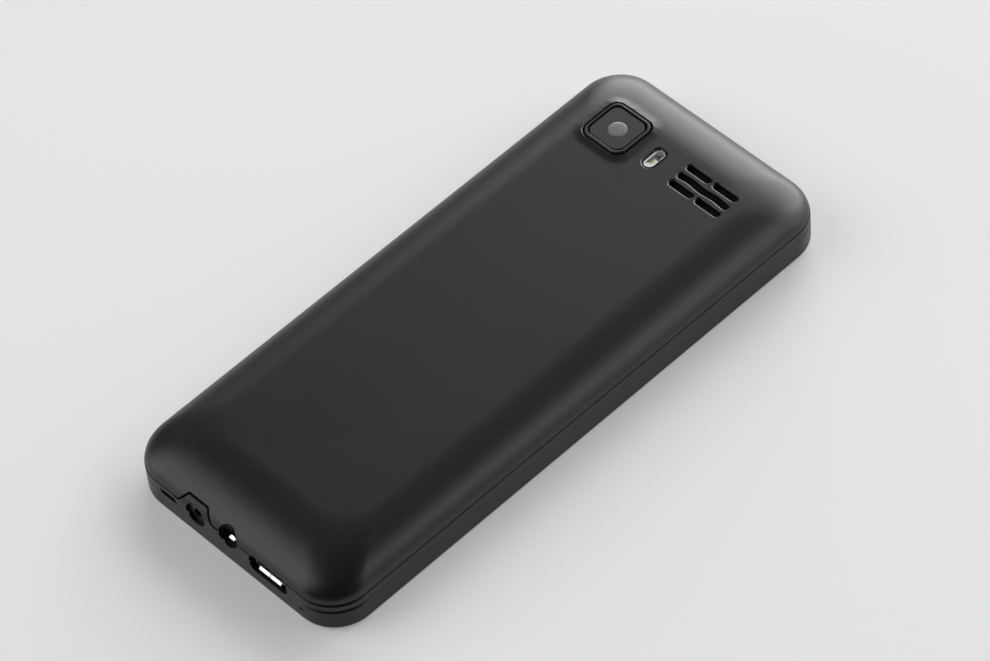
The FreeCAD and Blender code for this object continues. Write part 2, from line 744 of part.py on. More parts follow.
def jack_mouth(sketch):
    circle(sketch, dim.jack_x, dim.jack_level, dim.jack_mouth)


def strap_dish(sketch):
    circle(sketch, dim.tab_x, dim.socket_level, dim.socket_radius)


def strap_slot(sketch):
    left, right = around(dim.strap_slot_x, dim.strap_slot_width)
    rectangle(sketch, left, right, dim.strap_slot_low, dim.strap_slot_high)


def cut_ports(body, depth):
    """Mouths that cross the parting line and the seam of the port end."""
    outside = port_face - beyond
    cut(body, "XZ", outside, port_face + depth, usb_mouth)
    cut(body, "XZ", outside, port_face + depth, jack_mouth)


# ---------------------------------------------------------------- rear cover

def grille_slots(sketch):
    """Two rows of two short slots with one long slot between them."""
    left, right = around(dim.grille_x, dim.slot_span)
    for row in (-1, 0, 1):
        low, high = around(dim.grille_y + dim.slot_pitch * row, dim.slot_width)
        if row == 0:
            pill(sketch, left, right, low, high)
        else:
            pill(sketch, left, dim.grille_x - dim.slot_bridge / 2, low, high)
            pill(sketch, dim.grille_x + dim.slot_bridge / 2, right, low, high)


def flash_outline(sketch, grow):
    """Slot along the phone for the flash lens, larger by grow on each side."""
    left, right = around(dim.flash_x, dim.flash_width)
    low, high = around(dim.flash_y, dim.flash_length)
    corner = (dim.flash_width / 2 + grow) * PILL_END
    rounded(sketch, left - grow, right + grow, low - grow, high + grow, corner)


def make_rear_cover():
    body = new_body("rear_cover")
    loft(body, "Additive", crown(dim.cover_set, dim.back_level, dim.corner_radius - dim.cover_set))
    hole = dim.ring_side + 2 * dim.ring_gap
    hole_radius = dim.ring_radius + dim.ring_gap
    bump = []
    for out, up, soft in BUMP_STEPS:
        side = hole + 2 * dim.bump_run * out
        radius = hole_radius + dim.bump_run * out * soft

        def draw(sketch, side=side, radius=radius):
            square(sketch, dim.camera_x, dim.camera_y, side, radius)
        bump.append((dim.back_level + dim.bump_height * up, draw))
    loft(body, "Additive", bump)
    loft(body, "Subtractive", crown(cover_inner, cover_roof_level, dim.corner_radius - cover_inner))
    above = dim.ring_level + beyond
    cut(body, "XY", core_top, above,
        lambda sketch: square(sketch, dim.camera_x, dim.camera_y, hole, hole_radius))
    cut(body, "XY", core_top, above, lambda sketch: flash_outline(sketch, dim.flash_gap))
    cut(body, "XY", core_top, above, grille_slots)
    cut_ports(body, cover_inner + dim.usb_recess)
    cut(body, "XZ", port_face - beyond, jack_face, jack_mouth)
    cut(body, "XZ", port_face - beyond, port_face + dim.tab_depth + dim.tab_gap,
        lambda sketch: tab_outline(sketch, dim.tab_gap, dim.seam_level, rim_top))
    hooks = add(body, "XZ", -dim.hook_pitch - dim.hook_length / 2,
                -dim.hook_pitch + dim.hook_length / 2, hook_profiles)
    repeat(body, hooks, "Y", dim.hook_pitch * 2, 3)


def tab_outline(sketch, grow, foot_level, far_level):
    """Flared trapezium of the strap tab from the port end, closed at a level above or below."""
    end_left, end_right = around(dim.tab_x, tab_reach + 2 * beyond)
    foot_left, foot_right = around(dim.tab_x, dim.tab_foot + 2 * grow)
    top_left, top_right = around(dim.tab_x, dim.tab_top + 2 * grow)
    top = dim.tab_level + grow
    foot_radius = dim.tab_flare - grow
    top_radius = dim.tab_corner + grow
    polygon(sketch, ((end_left, far_level), (end_left, foot_level), (foot_left, foot_level),
                     (top_left, top), (top_right, top), (foot_right, foot_level),
                     (end_right, foot_level), (end_right, far_level)),
            ((2, foot_radius), (3, top_radius), (4, top_radius), (5, foot_radius)))


def hook_profiles(sketch):
    """Section of a left and a right snap hook: a tongue with a barb at its foot."""
    root_level = dim.seam_level + dim.hook_reach
    foot_level = dim.seam_level - dim.hook_reach
    barb_level = foot_level + dim.hook_reach / 2
    outer = half_width - cover_inner
    for side in (-1, 1):
        polygon(sketch, [(side * x, z) for x, z in (
            (outer + dim.hook_nose, root_level),
            (outer - dim.hook_thickness, root_level),
            (outer - dim.hook_thickness, foot_level),
            (outer, foot_level),
            (outer + dim.hook_nose, foot_level + dim.hook_nose),
            (outer + dim.hook_nose, barb_level),
            (outer, barb_level + dim.hook_nose),
            (outer, dim.seam_level + dim.hook_nose),
            (outer + dim.hook_nose, dim.seam_level + 2 * dim.hook_nose))])


# ---------------------------------------------------------------- rear housing

def make_rear_housing():
    body = new_body("rear_housing")
    add(body, "XY", dim.parting_level, rim_top, lambda sketch: plan(sketch, 0, dim.corner_radius))
    dress(body, "Chamfer", dim.parting_bevel, at_level(dim.parting_level))
    dress(body, "Chamfer", dim.rim_bevel, at_level(rim_top))
    core_corner = dim.corner_radius - core_inset
    core = crown(core_inset, core_top, core_corner)
    rim_level, rim_draw = core[0]
    add(body, "XY", dim.parting_level + dim.parting_bevel, rim_level, rim_draw)
    loft(body, "Additive", core)
    add_interlock(body)
    weld(body, strap_tab())
    cut_battery_bay(body)
    cut_upper_wells(body)
    cut_lower_wells(body)
    cut_screw_wells(body)
    cut_hook_pockets(body)


def add_interlock(body):
    """Rib that drops inside the front housing's wall."""
    outside = dim.front_wall + dim.rib_gap
    low = dim.parting_level - dim.rib_depth

    def ring(sketch):
        plan(sketch, outside, dim.corner_radius - outside)
        plan(sketch, outside + dim.rib_thickness, dim.corner_radius - outside - dim.rib_thickness)
    add(body, "XY", low, dim.parting_level + dim.parting_bevel, ring)
    add(body, "XY", board_top, dim.parting_level + dim.parting_bevel, at_screws(dim.boss_radius))


def strap_tab():
    """Tab that fills the cover's notch and follows its crown, down over the rim's bevel."""
    tab = doc.addObject("PartDesign::Body", "strap_tab")
    left, right = around(dim.tab_x, tab_reach)
    back = port_face + dim.tab_depth
    add(tab, "XY", rim_top - dim.rim_bevel, dim.seam_level,
        lambda sketch: rectangle(sketch, left, right, port_face, back))
    levels = []
    for step in range(TAB_STEPS + 1):
        level = dim.seam_level + (dim.tab_level - dim.seam_level) * step / TAB_STEPS
        rise = float(level - dim.seam_level) / float(dim.back_level - dim.seam_level)
        front = port_face + dim.port_run * (1 - math.sqrt(1 - rise ** 2))
        levels.append((level, lambda sketch, front=front: rectangle(sketch, left, right, front, back)))
    loft(tab, "Additive", levels)
    cut(tab, "XZ", port_face - beyond, port_face + dim.tab_depth + beyond,
        lambda sketch: tab_outline(sketch, Size(0), rim_top, dim.tab_level + beyond))
    return tab


def cut_battery_bay(body):
    left, right = around(Size(0), dim.battery_width + 2 * dim.battery_gap)
    low = dim.battery_low - dim.battery_gap
    high = dim.battery_high + dim.battery_gap
    above = core_top + beyond
    below = dim.parting_level - beyond
    cut(body, "XY", dim.bay_floor, above, lambda sketch: rounded(
        sketch, left, right, low, high, dim.battery_corner + dim.battery_gap))
    for x in (-dim.sim_x, dim.sim_x):
        cut(body, "XY", below, dim.bay_floor + beyond, lambda sketch, x=x: rectangle(
            sketch, *around(x, dim.sim_width + 2 * dim.holder_gap),
            *around(dim.sim_y, dim.sim_length + 2 * dim.holder_gap)))
    cut(body, "XY", below, dim.bay_floor + beyond, lambda sketch: rectangle(
        sketch, *around(Size(0), dim.card_width + 2 * dim.holder_gap),
        *around(dim.card_y, dim.card_length + 2 * dim.holder_gap)))
    cut(body, "XY", below, board_top + dim.connector_height + dim.holder_gap, lambda sketch: rectangle(
        sketch, *around(Size(0), dim.connector_width + 2 * dim.holder_gap),
        dim.battery_low - dim.battery_gap - dim.connector_depth - dim.holder_gap,
        dim.battery_low + dim.battery_gap))


def cut_upper_wells(body):
    """Wells for the camera, speaker, flash diode, shields and vibration motor."""
    above = core_top + beyond
    below = dim.parting_level - beyond
    well = dim.module_side + 2 * dim.module_gap
    cut(body, "XY", below, above,
        lambda sketch: square(sketch, dim.camera_x, dim.camera_y, well, dim.well_corner))
    cut(body, "XY", dim.speaker_floor, above, lambda sketch: rounded(
        sketch, *around(dim.grille_x, dim.speaker_length + 2 * dim.seat_gap),
        *around(dim.grille_y, dim.speaker_width + 2 * dim.seat_gap), dim.well_corner))
    cut(body, "XY", core_top - dim.led_drop - dim.led_height, above, lambda sketch: rectangle(
        sketch, *around(dim.flash_x, dim.led_width + 2 * dim.led_gap),
        *around(dim.flash_y, dim.led_length + 2 * dim.led_gap)))
    cut(body, "XY", below, board_top + dim.shield_height + dim.holder_gap, lambda sketch: rectangle(
        sketch, -dim.shield_x - dim.shield_length / 2 - dim.holder_gap,
        dim.shield_x + dim.shield_length / 2 + dim.holder_gap,
        *around(dim.shield_y, dim.shield_width + 2 * dim.holder_gap)))
    weight_end = dim.motor_low + dim.motor_length + dim.weight_gap + dim.weight_length
    well_top = dim.motor_level + dim.motor_radius + dim.motor_gap
    cut(body, "XY", below, well_top, lambda sketch: rectangle(
        sketch, *around(dim.motor_x, 2 * (dim.motor_radius + dim.motor_gap)),
        dim.motor_low - dim.motor_clear, weight_end + dim.weight_clear))


def cut_lower_wells(body):
    """Mouths, socket wells, strap passage and hollows near the port end."""
    below = dim.parting_level - beyond
    above = core_top + beyond
    cut_ports(body, dim.jack_recess + cover_inner)
    cut(body, "XZ", port_face - beyond, jack_face, jack_mouth)
    cut(body, "XY", below, above, lambda sketch: rectangle(
        sketch, *around(dim.jack_x, dim.jack_width + 2 * dim.seat_gap),
        jack_face - dim.seat_gap, jack_back + dim.seat_gap))
    cut(body, "XY", below, board_top + dim.usb_height + dim.seat_gap, lambda sketch: rectangle(
        sketch, *around(dim.usb_x, dim.usb_width + 2 * dim.seat_gap),
        usb_face - dim.seat_gap, usb_back + dim.seat_gap))
    cut(body, "XZ", port_face - beyond, port_face + dim.socket_depth, strap_dish)
    cut(body, "XZ", port_face - beyond, port_face + dim.strap_tunnel,
        lambda sketch: circle(sketch, dim.tab_x, dim.socket_level, dim.strap_hole))
    cut(body, "XZ", port_face - beyond, port_face + dim.strap_tunnel, strap_slot)
    slot_left = dim.strap_slot_x - dim.strap_slot_width / 2
    cut(body, "XY", dim.parting_level + dim.strap_floor, dim.strap_slot_high, lambda sketch: rectangle(
        sketch, slot_left, dim.tab_x + dim.strap_hole,
        port_face + dim.strap_wall, port_face + dim.strap_tunnel))
    for side in (-1, 1):
        cut(body, "XY", below, core_top - dim.chamber_roof, lambda sketch, side=side: rounded(
            sketch, *sorted((side * dim.chamber_inner, side * dim.chamber_outer)),
            dim.antenna_low, dim.antenna_high, dim.chamber_corner))


def cut_screw_wells(body):
    cut(body, "XY", dim.head_level, core_top + beyond, at_screws(dim.screw_head + dim.head_gap))
    cut(body, "XY", board_top - beyond, dim.head_level + beyond,
        at_screws(dim.screw_radius + dim.sleeve_gap))


def cut_hook_pockets(body):
    """Open-topped pockets that the cover's hooks drop into."""
    outer = half_width - cover_inner + dim.hook_nose + dim.hook_gap
    inner = half_width - cover_inner - dim.hook_thickness - dim.hook_gap
    length = dim.hook_length + 2 * dim.hook_gap

    def pockets(sketch):
        low, high = around(-dim.hook_pitch, length)
        for side in (-1, 1):
            rectangle(sketch, *sorted((side * inner, side * outer)), low, high)
    first = cut(body, "XY", dim.seam_level - dim.hook_reach - dim.hook_gap, core_top, pockets)
    repeat(body, first, "Y", dim.hook_pitch * 2, 3)


# ---------------------------------------------------------------- front housing

def make_front_housing():
    body = new_body("front_housing")
    add(body, "XY", Size(0), dim.parting_level, lambda sketch: plan(sketch, 0, dim.corner_radius))
    dress(body, "Fillet", dim.rim_fillet, at_level(0))
    dress(body, "Chamfer", dim.parting_bevel, at_level(dim.parting_level))
    cut(body, "XY", dim.face_thickness, dim.parting_level + beyond, lambda sketch: plan(
        sketch, dim.front_wall, dim.corner_radius - dim.front_wall))
    cut_display_openings(body)
    cut_key_openings(body)
    add(body, "XY", dim.face_thickness, dim.board_level, at_screws(dim.boss_radius))
    cut(body, "XY", dim.face_thickness, dim.board_level + beyond,
        at_screws(dim.screw_radius + dim.shank_gap))
    through = port_face + dim.front_wall + dim.mouth_spare
    cut_ports(body, dim.front_wall + dim.mouth_spare)
    cut(body, "XZ", port_face - beyond, port_face + dim.socket_depth, strap_dish)
    cut(body, "XZ", port_face - beyond, through, strap_slot)
    cut(body, "XZ", port_face - beyond, through, lambda sketch: pill(
        sketch, *around(dim.mic_x, dim.mic_width), *around(dim.mic_level, dim.mic_height)))


def cut_display_openings(body):
    recess = dim.pane_drop + dim.pane_thickness
    left, right = around(Size(0), dim.pane_width + 2 * dim.pane_gap)
    cut(body, "XY", Size(-beyond), recess, lambda sketch: rounded(
        sketch, left, right, dim.pane_low - dim.pane_gap, dim.pane_high + dim.pane_gap,
        dim.pane_radius + dim.pane_gap))
    cut(body, "XY", Size(-beyond), dim.face_thickness + beyond / 2, lambda sketch: rectangle(
        sketch, *around(Size(0), dim.view_width), dim.view_low, dim.view_high))
    cut(body, "XY", Size(-beyond), dim.face_thickness + beyond / 2, lambda sketch: pill(
        sketch, *around(Size(0), dim.earpiece_length), *around(dim.earpiece_y, dim.earpiece_width)))


def cut_key_openings(body):
    """One opening for each key; the webs between them stay."""
    places = key_places()
    for start in range(0, len(places), 4):
        def openings(sketch, chosen=places[start:start + 4]):
            for name, x, y, width, height in chosen:
                rounded(sketch, *around(x, width + 2 * dim.key_gap),
                        *around(y, height + 2 * dim.key_gap), dim.key_corner + dim.key_gap)
        cut(body, "XY", Size(-beyond), dim.face_thickness + beyond / 2, openings)
    cut(body, "XY", Size(-beyond), dim.face_thickness + beyond / 2, lambda sketch: rounded(
        sketch, *around(Size(0), dim.nav_width + 2 * dim.nav_gap),
        *around(dim.nav_y, dim.nav_height + 2 * dim.nav_gap), dim.nav_corner + dim.nav_gap))


# ---------------------------------------------------------------- keys

def make_key(label, x, y, width, height):
    body = new_body(label)
    add(body, "XY", dim.key_drop, key_back,
        lambda sketch: rounded(sketch, *around(x, width), *around(y, height), dim.key_corner))
    dress(body, "Fillet", dim.key_fillet, at_level(dim.key_drop))
    add(body, "XY", key_back - dim.flange_thickness, key_back, lambda sketch: rounded(
        sketch, *around(x, width + 2 * dim.flange_width),
        *around(y, height + 2 * dim.flange_width), dim.key_corner + dim.flange_width))


def make_navigation():
    body = new_body("nav_ring")
    ring_back = dim.face_thickness + dim.nav_play + dim.nav_flange
    add(body, "XY", dim.nav_drop, ring_back, lambda sketch: rounded(
        sketch, *around(Size(0), dim.nav_width), *around(dim.nav_y, dim.nav_height), dim.nav_corner))
    dress(body, "Fillet", dim.key_fillet, at_level(dim.nav_drop))
    add(body, "XY", ring_back - dim.nav_flange, ring_back, lambda sketch: rounded(
        sketch, *around(Size(0), dim.nav_width + 2 * dim.flange_width),
        *around(dim.nav_y, dim.nav_height + 2 * dim.flange_width),
        dim.nav_corner + dim.flange_width))
    cut(body, "XY", Size(0), ring_back + beyond,
        lambda sketch: circle(sketch, Size(0), dim.nav_y, dim.centre_radius + dim.nav_gap))
    centre = new_body("nav_centre_key")
    add(centre, "XY", dim.nav_drop, key_back,
        lambda sketch: circle(sketch, Size(0), dim.nav_y, dim.centre_radius))
    dress(centre, "Fillet", dim.key_fillet, at_level(dim.nav_drop))


def dome_places():
    """Domes under the plain keys, the centre key and the ring's four sides."""
    places = [(x, y) for name, x, y, width, height in key_places()]
    reach_x = (dim.nav_width / 2 + dim.centre_radius) / 2
    reach_y = (dim.nav_height / 2 + dim.centre_radius) / 2
    places.append((Size(0), dim.nav_y))
    places += [(side * reach_x, dim.nav_y) for side in (-1, 1)]
    places += [(Size(0), dim.nav_y + side * reach_y) for side in (-1, 1)]
    return places


def keypad_area(sketch):
    reach = dim.column_pitch + dim.key_width / 2 + dim.flange_width
    low = dim.first_row_y - dim.row_pitch * 3 - dim.key_height / 2 - dim.flange_width
    high = dim.soft_key_y + dim.side_key_height / 2 + dim.flange_width
    rounded(sketch, -reach, reach, low, high, dim.key_corner)


def make_keypad_sheets():
    membrane = new_body("keypad_membrane")
    add(membrane, "XY", membrane_low, membrane_high, keypad_area)
    nub_tip = dome_low - dim.dome_gap
    places = dome_places()
    for start in range(0, len(places), 7):
        add(membrane, "XY", membrane_high, nub_tip, lambda sketch: [
            circle(sketch, x, y, dim.nub_radius) for x, y in places[start:start + 7]])
    sheet = new_body("dome_sheet")
    film = dim.board_level - dim.dome_film
    add(sheet, "XY", film, dim.board_level, keypad_area)
    for start in range(0, len(places), 7):
        add(sheet, "XY", dome_low, film, lambda sketch: [
            circle(sketch, x, y, dim.dome_radius) for x, y in places[start:start + 7]])


# ---------------------------------------------------------------- display

def make_display():
    pane = new_body("display_window")
    add(pane, "XY", dim.pane_drop, dim.pane_drop + dim.pane_thickness, lambda sketch: rounded(
        sketch, *around(Size(0), dim.pane_width), dim.pane_low, dim.pane_high, dim.pane_radius))
    lcd_top = dim.face_thickness + dim.lcd_thickness
    name_part("lcd_module", box(around(Size(0), dim.lcd_width), (dim.lcd_low, dim.lcd_high),
                                (dim.face_thickness, lcd_top)))
    wall = dim.tray_wall
    outer = box(around(Size(0), dim.lcd_width + 2 * wall), (dim.lcd_low - wall, dim.lcd_high + wall),
                (dim.face_thickness + wall, lcd_top + wall))
    inner = box(around(Size(0), dim.lcd_width), (dim.lcd_low, dim.lcd_high), (Size(0), lcd_top))
    relief = box(around(dim.tail_x, dim.tail_width + 2 * dim.tail_gap),
                 (dim.lcd_high - wall, dim.lcd_high + 2 * wall), (Size(0), lcd_top))
    name_part("lcd_frame", minus(outer, inner, relief))
    flex = new_body("lcd_flex")
    film = dim.tail_film
    start = dim.lcd_high
    bend = start + dim.tail_run
    end = bend + dim.tail_foot
    low = lcd_top - dim.tail_drop
    left, right = around(dim.tail_x, dim.tail_width)
    add(flex, "YZ", left, right, lambda sketch: polygon(sketch, (
        (start, low), (bend, low), (bend, dim.board_level - film),
        (end, dim.board_level - film), (end, dim.board_level),
        (bend - film, dim.board_level), (bend - film, low + film), (start, low + film))))


# ---------------------------------------------------------------- board

def make_board():
    body = new_body("main_board")
    inset = dim.front_wall + dim.rib_gap + dim.rib_thickness + dim.board_gap
    add(body, "XY", dim.board_level, board_top,
        lambda sketch: plan(sketch, inset, dim.corner_radius - inset))
    cut(body, "XY", dim.board_level - beyond, board_top + beyond, at_screws(dim.board_hole))


def shield_can(side):
    wall = dim.shield_wall
    x = around(side * dim.shield_x, dim.shield_length)
    y = around(dim.shield_y, dim.shield_width)
    top = board_top + dim.shield_height
    return minus(box(x, y, (board_top, top)),
                 box((x[0] + wall, x[1] - wall), (y[0] + wall, y[1] - wall), (board_top, top - wall)))


def make_electronics():
    name_part("rf_shields", group(shield_can(-1), shield_can(1)))
    chips = []
    for side in (-1, 1):
        for step, width in ((-1, dim.wide_chip), (1, dim.narrow_chip)):
            x = side * dim.shield_x + step * dim.chip_offset
            chips.append(box(around(x, width), around(dim.shield_y, dim.chip_length),
                             (board_top, board_top + dim.chip_thickness)))
    name_part("board_chips", group(*chips))


def make_sim_holder(label, x, y, width, length):
    """Sheet-metal cage, open at its camera side, with two windows in its roof."""
    wall = dim.holder_wall
    top = board_top + dim.holder_height
    xs, ys = around(x, width), around(y, length)
    cage = box(xs, ys, (board_top, top))
    slot = box((xs[0] + wall, xs[1] - wall), (ys[0] + wall, ys[1] + wall),
               (board_top + wall, top - wall))
    window = box((xs[0] + dim.hatch_side, xs[1] - dim.hatch_side),
                 (ys[0] + dim.hatch_front, ys[1] - dim.hatch_back), (top - 2 * wall, top + wall))
    name_part(label, minus(cage, slot, window))


def make_card_holders():
    make_sim_holder("sim_holder_1", -dim.sim_x, dim.sim_y, dim.sim_width, dim.sim_length)
    make_sim_holder("sim_holder_2", dim.sim_x, dim.sim_y, dim.sim_width, dim.sim_length)
    make_sim_holder("memory_card_holder", Size(0), dim.card_y, dim.card_width, dim.card_length)


# ---------------------------------------------------------------- battery

def make_battery():
    low = dim.bay_floor + dim.battery_play
    body = new_body("battery")
    add(body, "XY", low, low + dim.battery_thickness, lambda sketch: rounded(
        sketch, *around(Size(0), dim.battery_width), dim.battery_low, dim.battery_high,
        dim.battery_corner))
    dress(body, "Fillet", dim.battery_fillet, at_level(low + dim.battery_thickness))
    face = dim.battery_low - dim.battery_gap
    name_part("battery_connector", box(
        around(Size(0), dim.connector_width), (face - dim.connector_depth, face),
        (board_top, board_top + dim.connector_height)))
    spring_low = dim.bay_floor + dim.contact_low
    springs = []
    for step in (-1, 0, 1):
        springs.append(box(around(dim.contact_pitch * step, dim.contact_width),
                           (face, dim.battery_low), (spring_low, spring_low + dim.contact_height)))
    name_part("battery_contacts", group(*springs))


def make_antenna():
    body = new_body("antenna")
    add(body, "XY", core_top, core_top + dim.antenna_thickness, lambda sketch: rectangle(
        sketch, *around(Size(0), dim.antenna_width), dim.antenna_low, dim.antenna_high))
    slit = cut(body, "XY", core_top, core_top + dim.antenna_thickness + beyond, lambda sketch: rectangle(
        sketch, *around(-dim.slit_spread / 2, dim.antenna_slit),
        dim.antenna_low + dim.antenna_bridge, dim.antenna_high + beyond))
    repeat(body, slit, "X", dim.slit_spread, ANTENNA_SLITS)


# ---------------------------------------------------------------- sockets

def make_audio_jack():
    bottom = board_top
    top = dim.jack_level + (dim.jack_level - bottom)
    bore = bar(dim.jack_bore, dim.jack_x, collar_face - beyond, dim.jack_level,
               jack_back - collar_face + 2 * beyond)
    seat = bar(dim.jack_bore + dim.sleeve_wall, dim.jack_x, collar_face - beyond, dim.jack_level,
               dim.sleeve_length + beyond)
    housing = box(around(dim.jack_x, dim.jack_width), (jack_face, jack_back), (bottom, top))
    collar = bar(dim.jack_collar, dim.jack_x, collar_face, dim.jack_level,
                 dim.jack_neck + beyond)
    name_part("audio_jack", minus(join(housing, collar), bore, seat))
    ring = bar(dim.jack_bore + dim.sleeve_wall, dim.jack_x, collar_face, dim.jack_level,
               dim.sleeve_length)
    flange_face = collar_face - dim.sleeve_flange
    flange = bar(dim.jack_collar, dim.jack_x, flange_face, dim.jack_level, dim.sleeve_flange)
    hollow = bar(dim.jack_bore, dim.jack_x, flange_face - beyond, dim.jack_level,
                 dim.sleeve_flange + dim.sleeve_length + 2 * beyond)
    countersink = cone(dim.jack_collar - dim.flange_edge, dim.jack_bore, dim.sleeve_flange)
    bind_place(countersink, dim.jack_x, flange_face, dim.jack_level)
    countersink.Placement.Rotation = ALONG_Y
    name_part("jack_sleeve", minus(join(ring, flange), hollow, countersink))


def make_usb_socket():
    """Folded metal shell with narrower lower side, and the tongue inside it."""
    left, right = around(dim.usb_x, dim.usb_width)
    top = board_top + dim.usb_height
    body = new_body("usb_receptacle")

    def section(sketch, inset):
        cut_back = dim.usb_chamfer - inset / 2
        polygon(sketch, ((left + inset + cut_back, board_top + inset),
                         (right - inset - cut_back, board_top + inset),
                         (right - inset, board_top + inset + cut_back), (right - inset, top - inset),
                         (left + inset, top - inset), (left + inset, board_top + inset + cut_back)))
    add(body, "XZ", usb_face, usb_back, lambda sketch: section(sketch, Size(0)))
    cut(body, "XZ", usb_face, usb_back - dim.usb_wall, lambda sketch: section(sketch, dim.usb_wall))
    lower_left, lower_right = around(dim.usb_x, dim.lip_width)
    slit_left, slit_right = around(dim.usb_x, dim.lip_slit)
    add_usb_lip(body, lower_left, slit_left, board_top, dim.usb_wall, -dim.lip_drop)
    add_usb_lip(body, slit_right, lower_right, board_top, dim.usb_wall, -dim.lip_drop)
    add_usb_lip(body, left + dim.usb_wall, right - dim.usb_wall, top, -dim.usb_wall, dim.lip_rise)
    middle = (board_top + top) / 2 + dim.tongue_rise
    name_part("usb_tongue", box(around(dim.usb_x, dim.usb_width / 2),
                                (usb_face + dim.tongue_drop, usb_back - dim.usb_wall),
                                around(middle, dim.usb_tongue)))


def add_usb_lip(body, left, right, level, wall, bend):
    """Lip that runs out of the shell's front edge and bends away from its middle."""
    lip_face = usb_face - dim.lip_reach
    add(body, "YZ", left, right, lambda sketch: polygon(sketch, (
        (usb_face, level), (usb_face, level + wall),
        (lip_face, level + wall + bend), (lip_face, level + bend))))


# ---------------------------------------------------------------- sound

def make_sound():
    x = around(dim.grille_x, dim.speaker_length)
    y = around(dim.grille_y, dim.speaker_width)
    wall = dim.gasket_wall
    speaker_low = dim.speaker_floor + dim.seat_gap / 2
    name_part("loudspeaker", box(x, y, (speaker_low, speaker_top)))
    x = (x[0] + dim.gasket_inset, x[1] - dim.gasket_inset)
    y = (y[0] + dim.gasket_inset, y[1] - dim.gasket_inset)
    gasket_top = core_top
    name_part("speaker_gasket", minus(
        box(x, y, (speaker_top, gasket_top)),
        box((x[0] + wall, x[1] - wall), (y[0] + wall, y[1] - wall),
            (speaker_top - beyond, gasket_top + beyond))))
    name_part("speaker_mesh", box(x, y, (gasket_top, gasket_top + dim.mesh_thickness)))

    face = dim.face_thickness
    mesh_top = face + dim.mesh_thickness
    slot_x = around(Size(0), dim.earpiece_length + 2 * dim.mesh_lap)
    slot_y = around(dim.earpiece_y, dim.earpiece_width + 2 * dim.mesh_lap)
    name_part("earpiece_mesh", box(slot_x, slot_y, (face, mesh_top)))
    name_part("earpiece_receiver", box(
        around(Size(0), dim.receiver_length), around(dim.earpiece_y, dim.receiver_width),
        (mesh_top, dim.board_level)))

    boot_front = port_face + dim.front_wall + dim.boot_gap
    can_front = boot_front + dim.boot_wall + dim.boot_gap
    can = box(around(dim.mic_x - dim.mic_shift, dim.mic_side), (can_front, can_front + dim.mic_side),
              (dim.board_level - dim.mic_thickness, dim.board_level))
    name_part("microphone", can)
    boot_low = dim.board_level - dim.mic_thickness - dim.boot_wall
    boot = box(around(dim.mic_x - dim.mic_shift, dim.mic_side), (boot_front, can_front),
               (boot_low, dim.board_level))
    passage = bar(dim.mic_height / 2, dim.mic_x, boot_front - beyond, dim.mic_level,
                  can_front - boot_front + 2 * beyond)
    name_part("microphone_boot", minus(boot, passage))


# ---------------------------------------------------------------- vibration motor

def make_vibration_motor():
    end = dim.motor_low + dim.motor_length
    can = bar(dim.motor_radius, dim.motor_x, dim.motor_low, dim.motor_level, dim.motor_length)
    bearing_depth = dim.shaft_depth + dim.bearing_spare
    bearing = bar(dim.shaft_radius + dim.shaft_gap, dim.motor_x, end - bearing_depth, dim.motor_level,
                  bearing_depth + beyond)
    name_part("vibration_motor", minus(can, bearing))
    weight_low = end + dim.weight_gap
    shaft = bar(dim.shaft_radius, dim.motor_x, end - dim.shaft_depth, dim.motor_level,
                dim.shaft_depth + dim.weight_gap + dim.weight_length)
    disc = bar(dim.weight_radius, dim.motor_x, weight_low, dim.motor_level, dim.weight_length)
    upper = box(around(dim.motor_x, 4 * dim.weight_radius),
                (weight_low - beyond, weight_low + dim.weight_length + beyond),
                (dim.motor_level + dim.shaft_radius, dim.motor_level + 2 * dim.weight_radius))
    name_part("vibration_weight", join(minus(disc, upper), shaft))


# ---------------------------------------------------------------- camera and flash

def make_camera():
    x, y = dim.camera_x, dim.camera_y
    foot = dim.module_side - 2 * dim.socket_inset
    socket = box(around(x, foot), around(y, foot), (board_top, module_base))
    housing = box(around(x, dim.module_side), around(y, dim.module_side), (module_base, module_top))
    barrel = rod(dim.barrel_radius, x, y, module_base, barrel_top - module_base)
    hollow = cone(dim.lens_cone, dim.lens_radius, dim.lens_depth)
    bind_place(hollow, x, y, barrel_top - dim.lens_depth)
    name_part("camera_module", minus(join(socket, housing, barrel), hollow))

    ring = new_body("camera_ring")
    side = dim.ring_side
    add(ring, "XY", core_top, core_top + dim.ring_foot, lambda sketch: square(
        sketch, x, y, side + 2 * dim.ring_flange, dim.ring_radius + dim.ring_flange))
    add(ring, "XY", core_top, dim.ring_level, lambda sketch: square(sketch, x, y, side, dim.ring_radius))
    dress(ring, "Fillet", dim.ring_fillet, at_level(dim.ring_level))
    opening = dim.window_side + 2 * dim.window_gap
    cut(ring, "XY", window_low, dim.ring_level + beyond, lambda sketch: square(
        sketch, x, y, opening, dim.window_radius + dim.window_gap))
    cut(ring, "XY", core_top - beyond, dim.ring_level, lambda sketch: square(
        sketch, x, y, dim.window_side - 2 * dim.ring_ledge, dim.window_radius))
    window = new_body("camera_window")
    add(window, "XY", window_low, window_top,
        lambda sketch: square(sketch, x, y, dim.window_side, dim.window_radius))
    gasket_height = window_low - barrel_top
    gasket = minus(rod(dim.barrel_radius + dim.gasket_rim, x, y, barrel_top, gasket_height),
                   rod(dim.lens_radius + dim.gasket_rim, x, y, barrel_top - beyond,
                       gasket_height + 2 * beyond))
    name_part("camera_gasket", gasket)


